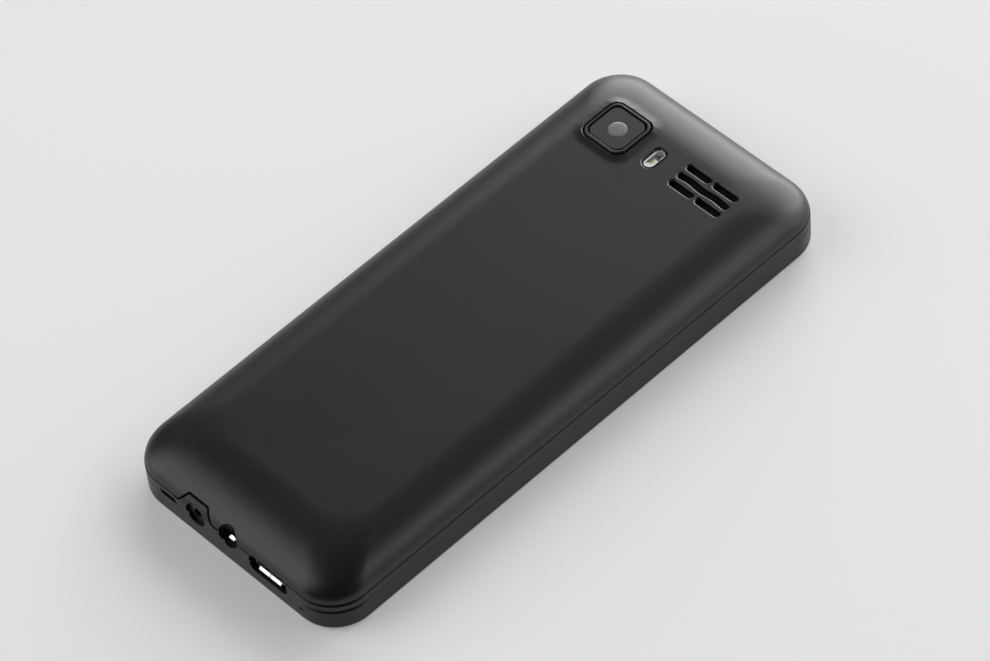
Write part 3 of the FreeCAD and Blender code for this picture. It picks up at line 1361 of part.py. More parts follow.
def make_flash():
    x, y = dim.flash_x, dim.flash_y
    led_top = core_top - dim.led_drop
    name_part("flash_led", box(around(x, dim.led_width), around(y, dim.led_length),
                               (led_top - dim.led_height, led_top)))
    lens = new_body("flash_lens")
    add(lens, "XY", core_top, core_top + dim.flash_foot,
        lambda sketch: flash_outline(sketch, dim.flash_flange))
    add(lens, "XY", core_top, dim.back_level, lambda sketch: flash_outline(sketch, Size(0)))
    dress(lens, "Fillet", dim.flash_fillet, at_level(dim.back_level))


# ---------------------------------------------------------------- screws

def make_screws():
    screws = []
    for x, y in screw_places:
        head_top = dim.head_level + dim.head_height
        tip = dim.head_level - dim.screw_length
        shank = rod(dim.screw_radius, x, y, tip, head_top - dim.drive_depth - tip)
        head = rod(dim.screw_head, x, y, dim.head_level, dim.head_height)
        recess = rod(dim.drive_radius, x, y, head_top - dim.drive_depth, dim.drive_depth + beyond)
        screws.append(minus(join(shank, head), recess))
    name_part("housing_screws", group(*screws))


# ---------------------------------------------------------------- build and export

make_rear_cover()
make_rear_housing()
make_front_housing()
for key in key_places():
    make_key(*key)
make_navigation()
make_keypad_sheets()
make_display()
make_board()
make_electronics()
make_card_holders()
make_battery()
make_antenna()
make_audio_jack()
make_usb_socket()
make_sound()
make_vibration_motor()
make_camera()
make_flash()
make_screws()
doc.recompute()

for item in doc.Objects:
    if "Invalid" in item.State or "Error" in item.State:
        raise RuntimeError(f"{item.Label} failed: {item.State}")
for label, item in parts.items():
    if item.Shape.isNull() or not item.Shape.isValid():
        raise RuntimeError(f"{label} has no valid shape")

os.makedirs("parts", exist_ok=True)
for label, item in parts.items():
    item.Shape.exportStep(os.path.join("parts", f"{label}.step"))
print(len(parts), "sub-parts written")
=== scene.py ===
import json
from math import atan2, cos, pi, radians, sin, tan

import bpy
from mathutils import Matrix, Vector


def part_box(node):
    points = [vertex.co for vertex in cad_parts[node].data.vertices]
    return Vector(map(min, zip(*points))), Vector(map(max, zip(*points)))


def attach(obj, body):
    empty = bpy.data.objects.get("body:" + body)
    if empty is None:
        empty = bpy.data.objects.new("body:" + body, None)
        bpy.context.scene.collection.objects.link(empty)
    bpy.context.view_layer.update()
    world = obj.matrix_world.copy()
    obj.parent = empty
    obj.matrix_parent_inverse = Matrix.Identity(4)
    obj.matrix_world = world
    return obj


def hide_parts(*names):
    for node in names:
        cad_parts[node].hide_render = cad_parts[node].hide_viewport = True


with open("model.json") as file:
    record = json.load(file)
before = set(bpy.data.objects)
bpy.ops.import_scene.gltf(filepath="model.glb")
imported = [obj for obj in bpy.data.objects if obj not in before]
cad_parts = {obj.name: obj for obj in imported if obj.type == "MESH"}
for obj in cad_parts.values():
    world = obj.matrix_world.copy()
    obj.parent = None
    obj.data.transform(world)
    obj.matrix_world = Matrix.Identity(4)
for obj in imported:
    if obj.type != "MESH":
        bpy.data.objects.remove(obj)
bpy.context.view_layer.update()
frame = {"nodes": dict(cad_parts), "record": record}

# A bar phone that lies on its screen. +Z goes up through its back, +Y runs from the
# port end to the camera end, and +X is the side of the USB socket. Lengths in this
# file are millimetres, and MM turns them to the scene's metres.

MM = 0.001
NODES = frame["nodes"]
BODY_OF = {name: body for body, names in frame["record"]["behaviour"]["bodies"].items()
           for name in names}
SLOT_OF = {part["node"]: part["material_slot"] for part in frame["record"]["subparts"]}


def corners(node):
    """Lowest and highest corner of a node, in millimetres."""
    low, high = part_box(node)
    return low / MM, high / MM


def middle(node):
    """Middle of a node's box, in millimetres."""
    low, high = corners(node)
    return (low + high) / 2


# ------------ colours and nodes

def linear(hex_colour):
    """An sRGB hex colour as linear red, green, blue and alpha."""
    channels = [int(hex_colour[place:place + 2], 16) / 255 for place in (1, 3, 5)]
    return [c / 12.92 if c <= 0.04045 else ((c + 0.055) / 1.055) ** 2.4 for c in channels] + [1.0]


def new_material(name):
    """Material with no nodes but the object's own coordinates, which come with it."""
    material = bpy.data.materials.new(name)
    material.use_nodes = True
    material.node_tree.nodes.clear()
    return material, node(material, "ShaderNodeTexCoord").outputs["Object"]


def node(material, kind, inputs=None, stops=(), **settings):
    """Add one node; an input is a value or an output to link, and stops are a ramp's colours."""
    tree = material.node_tree
    added = tree.nodes.new(kind)
    for name, value in settings.items():
        setattr(added, name, value)
    for index, (place, hex_colour) in enumerate(stops):
        added.color_ramp.elements[index].position = place
        added.color_ramp.elements[index].color = linear(hex_colour)
    for name, value in (inputs or {}).items():
        if isinstance(value, bpy.types.NodeSocket):
            tree.links.new(value, added.inputs[name])
        else:
            added.inputs[name].default_value = value
    return added


def per_mm(size):
    """Texture scale whose features are about this many millimetres across."""
    return 1 / (size * MM)


# ------------ kinds of surface

LOW, HIGH = 0.3, 0.7  # most of a noise's values lie between these
CLOUD_SIZE = 26  # drift of colour across a moulding
SMEAR_SIZE, FILM_SIZE = 9, 3  # marks of handling on lacquer, and on clear plastic
ROLLING_SIZE = 2.4  # spacing of rolling lines on sheet metal
THREAD_PITCH = 0.35  # acoustic cloth is finer, and drawn so that it shows
WAVE_BANDS = 20 / (2 * pi)  # bands of a wave texture in one unit of its scale
TRACK_PITCH, PAD_PITCH = 4.5, 2.2  # board tracks are finer, and drawn so that they show
PAD_RADIUS = 0.16  # share of the pad pitch
FIBRE_SIZE = 160  # clouds of the floor paper


def moulded_plastic(name, colours, grain, depth, roughness, specular=0.5):
    """Injection-moulded plastic: a spark-eroded grain, and faint wide changes of colour."""
    material, place = new_material(name)
    cloud = node(material, "ShaderNodeTexNoise",
                 {"Vector": place, "Scale": per_mm(CLOUD_SIZE), "Detail": 3.0, "Roughness": 0.55})
    tint = node(material, "ShaderNodeValToRGB", {"Fac": cloud.outputs["Fac"]},
                zip((LOW, HIGH), colours))
    speck = node(material, "ShaderNodeTexNoise",
                 {"Vector": place, "Scale": per_mm(grain), "Detail": 2.0, "Roughness": 0.6})
    sheen = node(material, "ShaderNodeMapRange",
                 {"Value": speck.outputs["Fac"], "From Min": LOW, "From Max": HIGH,
                  "To Min": roughness[0], "To Max": roughness[1]})
    relief = node(material, "ShaderNodeBump",
                  {"Height": speck.outputs["Fac"], "Strength": 0.6, "Distance": depth * MM})
    surface = node(material, "ShaderNodeBsdfPrincipled",
                   {"Base Color": tint.outputs["Color"], "Roughness": sheen.outputs["Result"],
                    "Normal": relief.outputs["Normal"], "IOR": 1.5,
                    "Specular IOR Level": specular, "Specular Tint": linear("#fdf8ff")})
    node(material, "ShaderNodeOutputMaterial", {"Surface": surface.outputs["BSDF"]})
    return material


def gloss_lacquer(name, colours, roughness):
    """Polished acrylic or glass with the faint smears of handling."""
    material, place = new_material(name)
    smear = node(material, "ShaderNodeTexNoise",
                 {"Vector": place, "Scale": per_mm(SMEAR_SIZE), "Detail": 4.0, "Distortion": 0.6})
    tint = node(material, "ShaderNodeValToRGB", {"Fac": smear.outputs["Fac"]},
                zip((0.35, 0.75), colours))
    sheen = node(material, "ShaderNodeMapRange",
                 {"Value": smear.outputs["Fac"], "From Min": LOW, "From Max": HIGH,
                  "To Min": roughness[0], "To Max": roughness[1]})
    surface = node(material, "ShaderNodeBsdfPrincipled",
                   {"Base Color": tint.outputs["Color"], "Roughness": sheen.outputs["Result"],
                    "IOR": 1.49})
    node(material, "ShaderNodeOutputMaterial", {"Surface": surface.outputs["BSDF"]})
    return material


def clear_acrylic(name, colours, roughness, shine_share):
    """Thin clear acrylic: nearly all light goes straight through, and a little shines."""
    material, place = new_material(name)
    smear = node(material, "ShaderNodeTexNoise",
                 {"Vector": place, "Scale": per_mm(FILM_SIZE), "Detail": 3.0})
    tint = node(material, "ShaderNodeValToRGB", {"Fac": smear.outputs["Fac"]},
                zip((0, 1), colours))
    sheen = node(material, "ShaderNodeMapRange",
                 {"Value": smear.outputs["Fac"], "To Min": roughness[0], "To Max": roughness[1]})
    shine = node(material, "ShaderNodeBsdfAnisotropic",
                 {"Color": tint.outputs["Color"], "Roughness": sheen.outputs["Result"]})
    inside = node(material, "ShaderNodeBsdfTransparent", {"Color": tint.outputs["Color"]})
    surface = node(material, "ShaderNodeMixShader",
                   {0: shine_share, 1: inside.outputs["BSDF"], 2: shine.outputs["BSDF"]})
    node(material, "ShaderNodeOutputMaterial", {"Surface": surface.outputs["Shader"]})
    return material


def rolled_metal(name, colours, roughness, stretch=(1, 12, 1), depth=0.02):
    """Stamped, plated or turned metal: fine lines along one direction, or none."""
    material, place = new_material(name)
    along = node(material, "ShaderNodeMapping", {"Vector": place, "Scale": stretch})
    lines = node(material, "ShaderNodeTexNoise",
                 {"Vector": along.outputs["Vector"], "Scale": per_mm(ROLLING_SIZE), "Detail": 5.0})
    tint = node(material, "ShaderNodeValToRGB", {"Fac": lines.outputs["Fac"]},
                zip((LOW, HIGH), colours))
    sheen = node(material, "ShaderNodeMapRange",
                 {"Value": lines.outputs["Fac"], "From Min": LOW, "From Max": HIGH,
                  "To Min": roughness[0], "To Max": roughness[1]})
    relief = node(material, "ShaderNodeBump",
                  {"Height": lines.outputs["Fac"], "Strength": 0.3, "Distance": depth * MM})
    surface = node(material, "ShaderNodeBsdfPrincipled",
                   {"Base Color": tint.outputs["Color"], "Roughness": sheen.outputs["Result"],
                    "Normal": relief.outputs["Normal"], "Metallic": 1.0})
    node(material, "ShaderNodeOutputMaterial", {"Surface": surface.outputs["BSDF"]})
    return material


def woven_mesh(name, colours):
    """Acoustic cloth: crossed threads, high where two meet."""
    material, place = new_material(name)
    thread = per_mm(THREAD_PITCH) / WAVE_BANDS
    warp = node(material, "ShaderNodeTexWave", {"Vector": place, "Scale": thread},
                bands_direction="X")
    weft = node(material, "ShaderNodeTexWave", {"Vector": place, "Scale": thread},
                bands_direction="Y")
    cross = node(material, "ShaderNodeMath", {0: warp.outputs["Fac"], 1: weft.outputs["Fac"]},
                 operation="MULTIPLY")
    tint = node(material, "ShaderNodeValToRGB", {"Fac": cross.outputs["Value"]},
                zip((0, 1), colours))
    relief = node(material, "ShaderNodeBump",
                  {"Height": cross.outputs["Value"], "Strength": 0.8, "Distance": 0.05 * MM})
    surface = node(material, "ShaderNodeBsdfPrincipled",
                   {"Base Color": tint.outputs["Color"], "Roughness": 0.85,
                    "Normal": relief.outputs["Normal"]})
    node(material, "ShaderNodeOutputMaterial", {"Surface": surface.outputs["BSDF"]})
    return material


def solder_resist(name, resist, covered_track, bare_pad):
    """Resist over copper tracks, which show as slightly paler raised lines."""
    material, place = new_material(name)
    tracks = node(material, "ShaderNodeTexBrick",
                  {"Vector": place, "Scale": per_mm(TRACK_PITCH), "Mortar Size": 0.035,
                   "Color1": linear(resist[0]), "Color2": linear(resist[1]),
                   "Mortar": linear(covered_track)})
    pads = node(material, "ShaderNodeTexVoronoi", {"Vector": place, "Scale": per_mm(PAD_PITCH)})
    dots = node(material, "ShaderNodeMath", {0: pads.outputs["Distance"], 1: PAD_RADIUS},
                operation="LESS_THAN")
    tint = node(material, "ShaderNodeMix",
                {"Factor": dots.outputs["Value"], "A": tracks.outputs["Color"],
                 "B": linear(bare_pad)}, data_type="RGBA")
    relief = node(material, "ShaderNodeBump",
                  {"Height": tracks.outputs["Fac"], "Strength": 0.4, "Distance": 0.03 * MM})
    surface = node(material, "ShaderNodeBsdfPrincipled",
                   {"Base Color": tint.outputs["Result"], "Roughness": 0.32,
                    "Normal": relief.outputs["Normal"]})
    node(material, "ShaderNodeOutputMaterial", {"Surface": surface.outputs["BSDF"]})
    return material


def studio_paper(name, lit, seen, glow):
    """Pale seamless paper. It lights the phone as the colour lit.

    The eye and reflections see the colour seen, lifted by a glow that keeps shadows light.
    """
    material, place = new_material(name)
    fibre = node(material, "ShaderNodeTexNoise",
                 {"Vector": place, "Scale": per_mm(FIBRE_SIZE), "Detail": 2.0})
    shade = node(material, "ShaderNodeMapRange",
                 {"Value": fibre.outputs["Fac"], "To Min": 0.98, "To Max": 1.02})
    path = node(material, "ShaderNodeLightPath").outputs
    direct = node(material, "ShaderNodeMath",
                  {0: path["Is Camera Ray"], 1: path["Is Glossy Ray"]}, operation="ADD")
    through = node(material, "ShaderNodeMath",
                   {0: direct.outputs["Value"], 1: path["Is Transmission Ray"]},
                   operation="ADD", use_clamp=True).outputs["Value"]
    tint = node(material, "ShaderNodeMix",
                {"Factor": through, "A": linear(lit), "B": linear(seen)}, data_type="RGBA")
    paper = node(material, "ShaderNodeMix",
                 {"Factor": 1.0, "A": tint.outputs["Result"], "B": shade.outputs["Result"]},
                 data_type="RGBA", blend_type="MULTIPLY")
    lift = node(material, "ShaderNodeMath", {0: through, 1: glow}, operation="MULTIPLY")
    surface = node(material, "ShaderNodeBsdfPrincipled",
                   {"Base Color": paper.outputs["Result"], "Roughness": 0.6,
                    "Specular IOR Level": 0.2, "Emission Color": linear("#ffffff"),
                    "Emission Strength": lift.outputs["Value"]})
    node(material, "ShaderNodeOutputMaterial", {"Surface": surface.outputs["BSDF"]})
    return material


# ------------ finishes
# A plastic's numbers are its grain and the grain's depth in millimetres, its lowest and
# highest roughness and, for two of them, how strongly they reflect.

# Matt soft-touch lacquer over polycarbonate: almost black, with a broad satin sheen.
soft_touch = moulded_plastic("Soft-touch polycarbonate", ("#121112", "#161516"),
                             0.3, 0.012, (0.33, 0.41))
# Fine-textured ABS of the housings: a little greyer and less shiny.
housing_abs = moulded_plastic("Textured ABS", ("#121213", "#161617"),
                              0.26, 0.005, (0.34, 0.40), 0.38)
# Lacquer on the key caps: smooth black, with a tighter sheen.
key_lacquer = moulded_plastic("Lacquered key caps", ("#151516", "#1b1b1c"),
                              0.4, 0.003, (0.26, 0.34))
# Satin moulding round the camera: dark grey, with a soft line of light along its bead.
ring_black = moulded_plastic("Satin camera bezel", ("#1c1c1c", "#212121"),
                             0.3, 0.003, (0.30, 0.36))
# Metallic paint of the navigation ring: mid grey, with a fine sparkle.
nav_paint = moulded_plastic("Metallic grey paint", ("#3d3e42", "#56575c"),
                            0.12, 0.003, (0.24, 0.36))
# Silicone of the keypad sheet and boots: dull dark grey with hardly any shine.
rubber = moulded_plastic("Silicone rubber", ("#232324", "#2c2c2d"), 0.5, 0.01, (0.62, 0.75))
# Closed-cell foam of the gaskets: black, pitted and fully matt.
foam = moulded_plastic("Closed-cell foam", ("#0f0f0f", "#1b1b1b"), 0.35, 0.05, (0.9, 0.98))
# Glass-filled nylon of the sockets: black, dry and slightly rough.
nylon = moulded_plastic("Glass-filled nylon", ("#0c0c0c", "#131313"), 0.3, 0.01, (0.5, 0.62))
# Printed film round the battery: slate grey, slightly creased, half gloss.
wrap = moulded_plastic("Battery wrap", ("#33363b", "#3b3e44"), 1.2, 0.006, (0.34, 0.46))
# Epoxy of the chips: charcoal with a fine blasted grain.
resin = moulded_plastic("Moulded chip resin", ("#151515", "#202020"), 0.15, 0.01, (0.5, 0.65))
# Polyimide film of the display's tail: amber brown and smooth.
film = moulded_plastic("Polyimide film", ("#7a4714", "#8c5318"), 1.0, 0.004, (0.28, 0.38))
# Acrylic printed black on its back: deep black under a mirror-like front.
window_black = gloss_lacquer("Printed acrylic window", ("#0a0a0b", "#0d0d0e"), (0.06, 0.12))
# Hard-coated plate over the camera: even dark grey, with a blurred reflection.
camera_print = gloss_lacquer("Tinted camera window", ("#39393a", "#3a3a3b"), (0.26, 0.28))
# Coated glass of the lens: a mid-grey disc, paler than the plate round it.
lens_coat = gloss_lacquer("Coated lens glass", ("#727274", "#78787a"), (0.24, 0.3))
# Glass of the display that is switched off: blue-black and shiny.
display_glass = gloss_lacquer("Dark display glass", ("#0d1012", "#12161a"), (0.08, 0.14))
# Moulded cover of the flash: clear, so that the parts below it are seen.
clear = clear_acrylic("Clear acrylic", ("#fbfbf9", "#ffffff"), (0.02, 0.06), 0.05)
# Pad-printed ink of the key legends: opaque and matt, in three colours.
print_white = moulded_plastic("White key print", ("#c9cac8", "#d8d8d6"), 0.5, 0.002, (0.5, 0.6))
print_green = moulded_plastic("Green key print", ("#1f8f3c", "#259a44"), 0.5, 0.002, (0.5, 0.6))
print_red = moulded_plastic("Red key print", ("#a8241f", "#b52a24"), 0.5, 0.002, (0.5, 0.6))
# Phosphor of the light diode: pale greenish yellow, and chalky.
phosphor = moulded_plastic("Diode phosphor", ("#c2c08a", "#d2d09a"), 0.25, 0.01, (0.4, 0.6))
# White plastic of the flash's reflector: bright and half gloss.
reflector = moulded_plastic("White reflector plastic", ("#f4f4f0", "#fbfbf8"),
                            0.25, 0.003, (0.2, 0.3))
# Frosted dome of the small second diode: mid grey with a soft highlight.
diode_dome = moulded_plastic("Frosted diode dome", ("#626266", "#6c6c70"),
                             0.3, 0.003, (0.25, 0.35))
# Matt black nylon in openings, on the jack collar and the flash's rim and slats, and painted shade
# in the seam and round the camera window: the blackest surface, with hardly a shine.
black_nylon_and_gap_shade = moulded_plastic("Matt black nylon and painted shade", ("#030303", "#070707"),
                               0.3, 0.002, (0.55, 0.65), 0.08)
# Stainless sheet of frames, cans and domes: grey, with fine rolling lines.
steel = rolled_metal("Stamped stainless sheet", ("#8f8f8c", "#b4b4b0"), (0.25, 0.42))
# Tin plating of the sockets' shells and contacts: bright, slightly warm silver.
plated = rolled_metal("Tin-plated steel", ("#cfc8c4", "#e0dad6"), (0.2, 0.32))
# Gold plating of the battery springs: warm yellow with a sharp shine.
gold = rolled_metal("Gold-plated springs", ("#b98f3e", "#d7b264"), (0.18, 0.3))
# Bare copper of the antenna: even, warm and satin, with no lines to speak of.
copper = rolled_metal("Antenna copper", ("#c4875c", "#cb9067"), (0.42, 0.46), (1, 1, 1), 0.001)
# Sintered tungsten of the vibration weight: dark grey and grainy.
heavy_metal = rolled_metal("Sintered tungsten", ("#4a4a4a", "#6d6d6c"), (0.4, 0.55), (1, 1, 1))
# Black zinc on the housing screws: near black, with a metal's glint.
black_zinc = rolled_metal("Black zinc screws", ("#232325", "#3a3a3d"), (0.3, 0.45), (1, 1, 1))
# Black cloth over the speaker and the earpiece: matt, with a fine weave.
mesh_cloth = woven_mesh("Acoustic mesh", ("#050505", "#1f1f20"))
# Green resist of the main board: half gloss, with paler tracks and bare gilt pads.
board_green = solder_resist("Green solder resist", ("#14532f", "#175a35"), "#2f8a52", "#b9a05a")

FINISH = {
    "soft_touch_black": soft_touch, "housing_black": housing_abs, "key_black": key_lacquer,
    "nav_metallic": nav_paint, "window_black": window_black, "lcd_glass": display_glass,
    "steel_sheet": steel, "flex_film": film, "circuit_board": board_green, "chip_resin": resin,
    "dome_steel": steel, "silicone_rubber": rubber, "battery_wrap": wrap,
    "connector_plastic": nylon, "gold_plate": gold, "antenna_copper": copper,
    "plated_metal": plated, "speaker_black": nylon, "foam_black": foam, "mesh_black": mesh_cloth,
    "tungsten": heavy_metal, "camera_black": nylon, "ring_black": ring_black,
    "camera_glass": camera_print, "led_phosphor": phosphor, "flash_clear": clear,
    "screw_steel": black_zinc,
}


# ------------ modelling by hand

SLACK = 0.01  # allowance of a test that chooses vertices
MERGE_WITHIN = 0.0005


def clear_selection():
    """Leave edit mode and deselect every object."""
    if bpy.context.object and bpy.context.object.mode != "OBJECT":
        bpy.ops.object.mode_set(mode="OBJECT")
    bpy.ops.object.select_all(action="DESELECT")


def choose(piece):
    """Make a piece the only selected object and the active one."""
    clear_selection()
    piece.select_set(True)
    bpy.context.view_layer.objects.active = piece


def edit(piece):
    """Choose a piece and go into edit mode."""
    choose(piece)
    bpy.ops.object.mode_set(mode="EDIT")


def select_vertices(piece, chosen):
    """Select the vertices that pass a test, in edit mode."""
    bpy.ops.mesh.select_mode(type="VERT")
    bpy.ops.mesh.select_all(action="DESELECT")
    bpy.ops.object.mode_set(mode="OBJECT")
    for vertex in piece.data.vertices:
        vertex.select = chosen(vertex)
    bpy.ops.object.mode_set(mode="EDIT")


def turn_faces_out():
    """Point all the faces of the mesh being edited outwards."""
    bpy.ops.mesh.select_all(action="SELECT")
    bpy.ops.mesh.normals_make_consistent(inside=False)


def add_outline(left, right, low, high, level, radius, steps):
    """Closed outline with rounded corners, as edges in the mesh being edited."""
    centre = Vector(((left + right) / 2, (low + high) / 2, level)) * MM
    bpy.ops.mesh.select_all(action="DESELECT")
    bpy.ops.mesh.primitive_plane_add(size=1, location=centre)
    bpy.ops.transform.resize(value=((right - left) * MM, (high - low) * MM, 1),
                             center_override=centre)
    bpy.ops.mesh.bevel(offset=radius * MM, segments=steps, affect="VERTICES",
                       clamp_overlap=False)
    bpy.ops.mesh.delete(type="ONLY_FACE")


def new_piece(name):
    """New mesh in edit mode, with nothing in it yet."""
    clear_selection()
    bpy.ops.mesh.primitive_plane_add(size=MM)
    piece = bpy.context.object
    piece.name = name
    piece.data.name = name
    edit(piece)
    bpy.ops.mesh.select_all(action="SELECT")
    bpy.ops.mesh.delete(type="VERT")
    return piece


def stack(name, levels, steps=8, ends=(True, True)):
    """Solid between rounded outlines, each (left, right, low, high, level, radius)."""
    piece = new_piece(name)
    for level in levels:
        add_outline(*level, steps)
    ring = 4 * (steps + 1)

    def select_outlines(first, past):
        select_vertices(piece, lambda vertex: first * ring <= vertex.index < past * ring)
    for first in range(len(levels) - 1):
        select_outlines(first, first + 2)
        bpy.ops.mesh.bridge_edge_loops()
    for closed, first in zip(ends, (0, len(levels) - 1)):
        if closed:
            select_outlines(first, first + 1)
            bpy.ops.mesh.edge_face_add()
    turn_faces_out()
    bpy.ops.object.mode_set(mode="OBJECT")
    return piece


def sides(centre, half_x, half_y):
    """Left, right, low and high of a rectangle about a centre."""
    return centre.x - half_x, centre.x + half_x, centre.y - half_y, centre.y + half_y


def square(centre, half, level, radius):
    """Rounded square about a centre, as one outline of a stack."""
    return (*sides(centre, half, half), level, radius)


def block(name, x, y, z, radius, steps=8):
    """Upright block with rounded vertical edges between (low, high) pairs."""
    return stack(name, [(*x, *y, level, radius) for level in z], steps)


def slice_across(piece, axis, low, high, step):
    """Add evenly spaced edges across a piece, square to an axis."""
    edit(piece)
    normal = Vector((axis == "X", axis == "Y", 0))
    count = round((high - low) / step)
    for line in range(count + 1):
        bpy.ops.mesh.select_all(action="SELECT")
        bpy.ops.mesh.bisect(plane_co=normal * (low + (high - low) * line / count) * MM,
                            plane_no=normal)
    bpy.ops.object.mode_set(mode="OBJECT")


def turn_to_end(piece):
    """Turn a piece modelled flat, with its length along Z, so that it runs along -Y."""
    piece.data.transform(Matrix.Rotation(radians(90), 4, "X"))
    return piece


def apply_modifier(piece, kind, **settings):
    """Add a modifier to a piece and apply it."""
    choose(piece)
    modifier = piece.modifiers.new(kind.title(), kind)
    for name, value in settings.items():
        setattr(modifier, name, value)
    bpy.ops.object.modifier_apply(modifier=modifier.name)


def cut_with(piece, cutter):
    """Take a cutter's space out of a piece and throw the cutter away."""
    apply_modifier(piece, "BOOLEAN", operation="DIFFERENCE", solver="EXACT", object=cutter)
    bpy.data.objects.remove(cutter)


def bevel_edges(piece, width, steps=2, angle=35):
    """Bevel the edges that are sharper than an angle."""
    apply_modifier(piece, "BEVEL", width=width * MM, segments=steps, limit_method="ANGLE",
                   angle_limit=radians(angle), use_clamp_overlap=True, miter_outer="MITER_ARC")


def smooth(piece, angle=35):
    """Smooth shading up to an angle, with flat faces kept flat."""
    choose(piece)
    bpy.ops.object.shade_smooth_by_angle(angle=radians(angle))
    apply_modifier(piece, "WEIGHTED_NORMAL", keep_sharp=True, weight=60)


def dress(piece, material, body, slot, *replaced):
    """Give a finished piece its material and body, and hide the nodes that it stands for. The slot
    is not used.
    """
    piece.data.materials.clear()
    piece.data.materials.append(material)
    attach(piece, body)
    if replaced:
        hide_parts(*replaced)
    return piece


def dress_gap(piece):
    """Finish a piece in the blackest nylon, used for the flash's black parts and for pieces of
    painted shade in gaps.
    """
    smooth(piece)
    dress(piece, black_nylon_and_gap_shade, "phone", "connector_plastic")


def smooth_copy(name, angle=35):
    """Merged and smoothly shaded copy of a node, which it replaces."""
    piece = bpy.data.objects.new(name + "_shaded", NODES[name].data.copy())
    bpy.context.scene.collection.objects.link(piece)
    edit(piece)
    bpy.ops.mesh.customdata_custom_splitnormals_clear()
    bpy.ops.mesh.select_all(action="SELECT")
    bpy.ops.mesh.remove_doubles(threshold=MERGE_WITHIN * MM)
    bpy.ops.object.mode_set(mode="OBJECT")
    smooth(piece, angle)
    return dress(piece, FINISH[SLOT_OF[name]], BODY_OF[name], SLOT_OF[name], name)


# ------------ places that pieces share

LENS_MIDDLE = middle("camera_window")
FLASH_MIDDLE = middle("flash_lens")
SLEEVE = middle("jack_sleeve")
USB_X = middle("usb_receptacle").x

HALF_WIDTH, HALF_LENGTH = corners("front_housing")[1].xy
BACK_LEVEL = corners("flash_lens")[1].z  # flat back
LIP_LEVEL = corners("rear_cover")[1].z - 0.1  # cover's lip round the camera bezel
SEAM_LEVEL = 6.9

RING_SIDE, RING_CORNER = 9.88, 2.0  # camera bezel
RING_GAP = 0.2  # cover to bezel
FLASH_HALF, FLASH_GAP = Vector((1.3, 2.55)), 0.06
PILL_END = 0.98  # corner radius of a pill, by half its width


# ------------ rear cover

COVER_FOOT = SEAM_LEVEL + 0.1
COVER_SET = 0.15  # cover's foot in from the housing's sides
COVER_WALL = 1.05
COVER_EDGE = 0.14  # bevel of the cover's sharp edges
PLAN_CORNER, CROWN_CORNER = 8.1 - COVER_SET, 7.0
SIDE_RUN, PORT_RUN, CAMERA_RUN = 9.5, 13.5, 11.0
CROWN_STEPS, PLAN_STEPS = 18, 16
BUMP_RUN, BUMP_CREST = 2.15, 0.45  # fall outside the camera hole, and flat inside it
GRID_STEP = 0.35
LIP_DROP = 0.06  # hole's mouth below the lip
CUT_DEPTH, CUT_RISE = 5, 2  # a cutter's reach below and above the surface
MOUTH_PROFILE = ((0, 0.26), (0.05, 0.15), (0.32, 0))  # outwards, below the surface
GRILLE_X, GRILLE_Y = 10.0, 46.8
SLOT_PITCH, SLOT_WIDTH, SLOT_SPAN, SLOT_BRIDGE = 2.36, 1.4, 12.2, 0.9
WAVE_HEIGHT, WAVE_LENGTH, WAVE_CREST, WAVE_STEP = 0.12, 6.2, 6.7, 0.35
JACK_MOUTH, JACK_ROUND, JACK_DEPTH = 2.35, 0.99, 4  # radius, share that is arc, depth
USB_MOUTH = (9.5, 3.5, 7.4, 1.5)  # width, low, high, corner radius
USB_DEPTH = 2.2
END_RISE = 1.0  # an end cutter's reach past the end
TAB_X, TAB_FOOT, TAB_TOP, TAB_LEVEL = -8.3, 8.6, 4.6, 9.1
TAB_GAP, TAB_FLARE, TAB_ROUND = 0.3, 1.2, 0.4
TAB_SILL, TAB_MARGIN = -0.02, 1  # notch's feet, up from the seam, and its spare
TAB_DEPTH, TAB_RISE = 3.2, 1.0  # notch in from the port end, and past it


def crown_levels():
    """Quarter-elliptical crown from the seam to the flat back."""
    levels = []
    for step in range(CROWN_STEPS + 1):
        angle = step / CROWN_STEPS * pi / 2
        fall, rise = 1 - cos(angle), sin(angle)
        side = HALF_WIDTH - COVER_SET - (SIDE_RUN - COVER_SET) * fall
        port = HALF_LENGTH - COVER_SET - (PORT_RUN - COVER_SET) * fall
        camera = HALF_LENGTH - COVER_SET - (CAMERA_RUN - COVER_SET) * fall
        levels.append((-side, side, -port, camera, COVER_FOOT + (BACK_LEVEL - COVER_FOOT) * rise,
                       PLAN_CORNER + (CROWN_CORNER - PLAN_CORNER) * fall))
    return levels


def swell_round_ring(cover):
    """Raise the cover in a soft collar that is steepest next to the camera bezel.

    The raised flat ends a little inside the hole to be cut, so that the fall
    is smooth at the hole's edge.
    """
    reach = RING_SIDE / 2 + RING_GAP - BUMP_CREST
    corner = RING_CORNER + RING_GAP - BUMP_CREST
    span = BUMP_RUN + BUMP_CREST
    x, y = LENS_MIDDLE.x, LENS_MIDDLE.y
    slice_across(cover, "X", x - reach - span, x + reach + span, GRID_STEP)
    slice_across(cover, "Y", y - reach - span, y + reach + span, GRID_STEP)

    def under_ring(vertex):
        across = abs(vertex.co.x / MM - x)
        along = abs(vertex.co.y / MM - y)
        past_corner = Vector((max(across - reach + corner, 0), max(along - reach + corner, 0)))
        return past_corner.length < corner + SLACK
    edit(cover)
    select_vertices(cover, under_ring)
    crest = BACK_LEVEL + (LIP_LEVEL - BACK_LEVEL) / (1 - BUMP_CREST / span) ** 2
    bpy.ops.transform.resize(value=(1, 1, 0), center_override=Vector((x, y, crest)) * MM,
                             use_proportional_edit=True, proportional_edit_falloff="SHARP",
                             proportional_size=span * MM)
    bpy.ops.object.mode_set(mode="OBJECT")


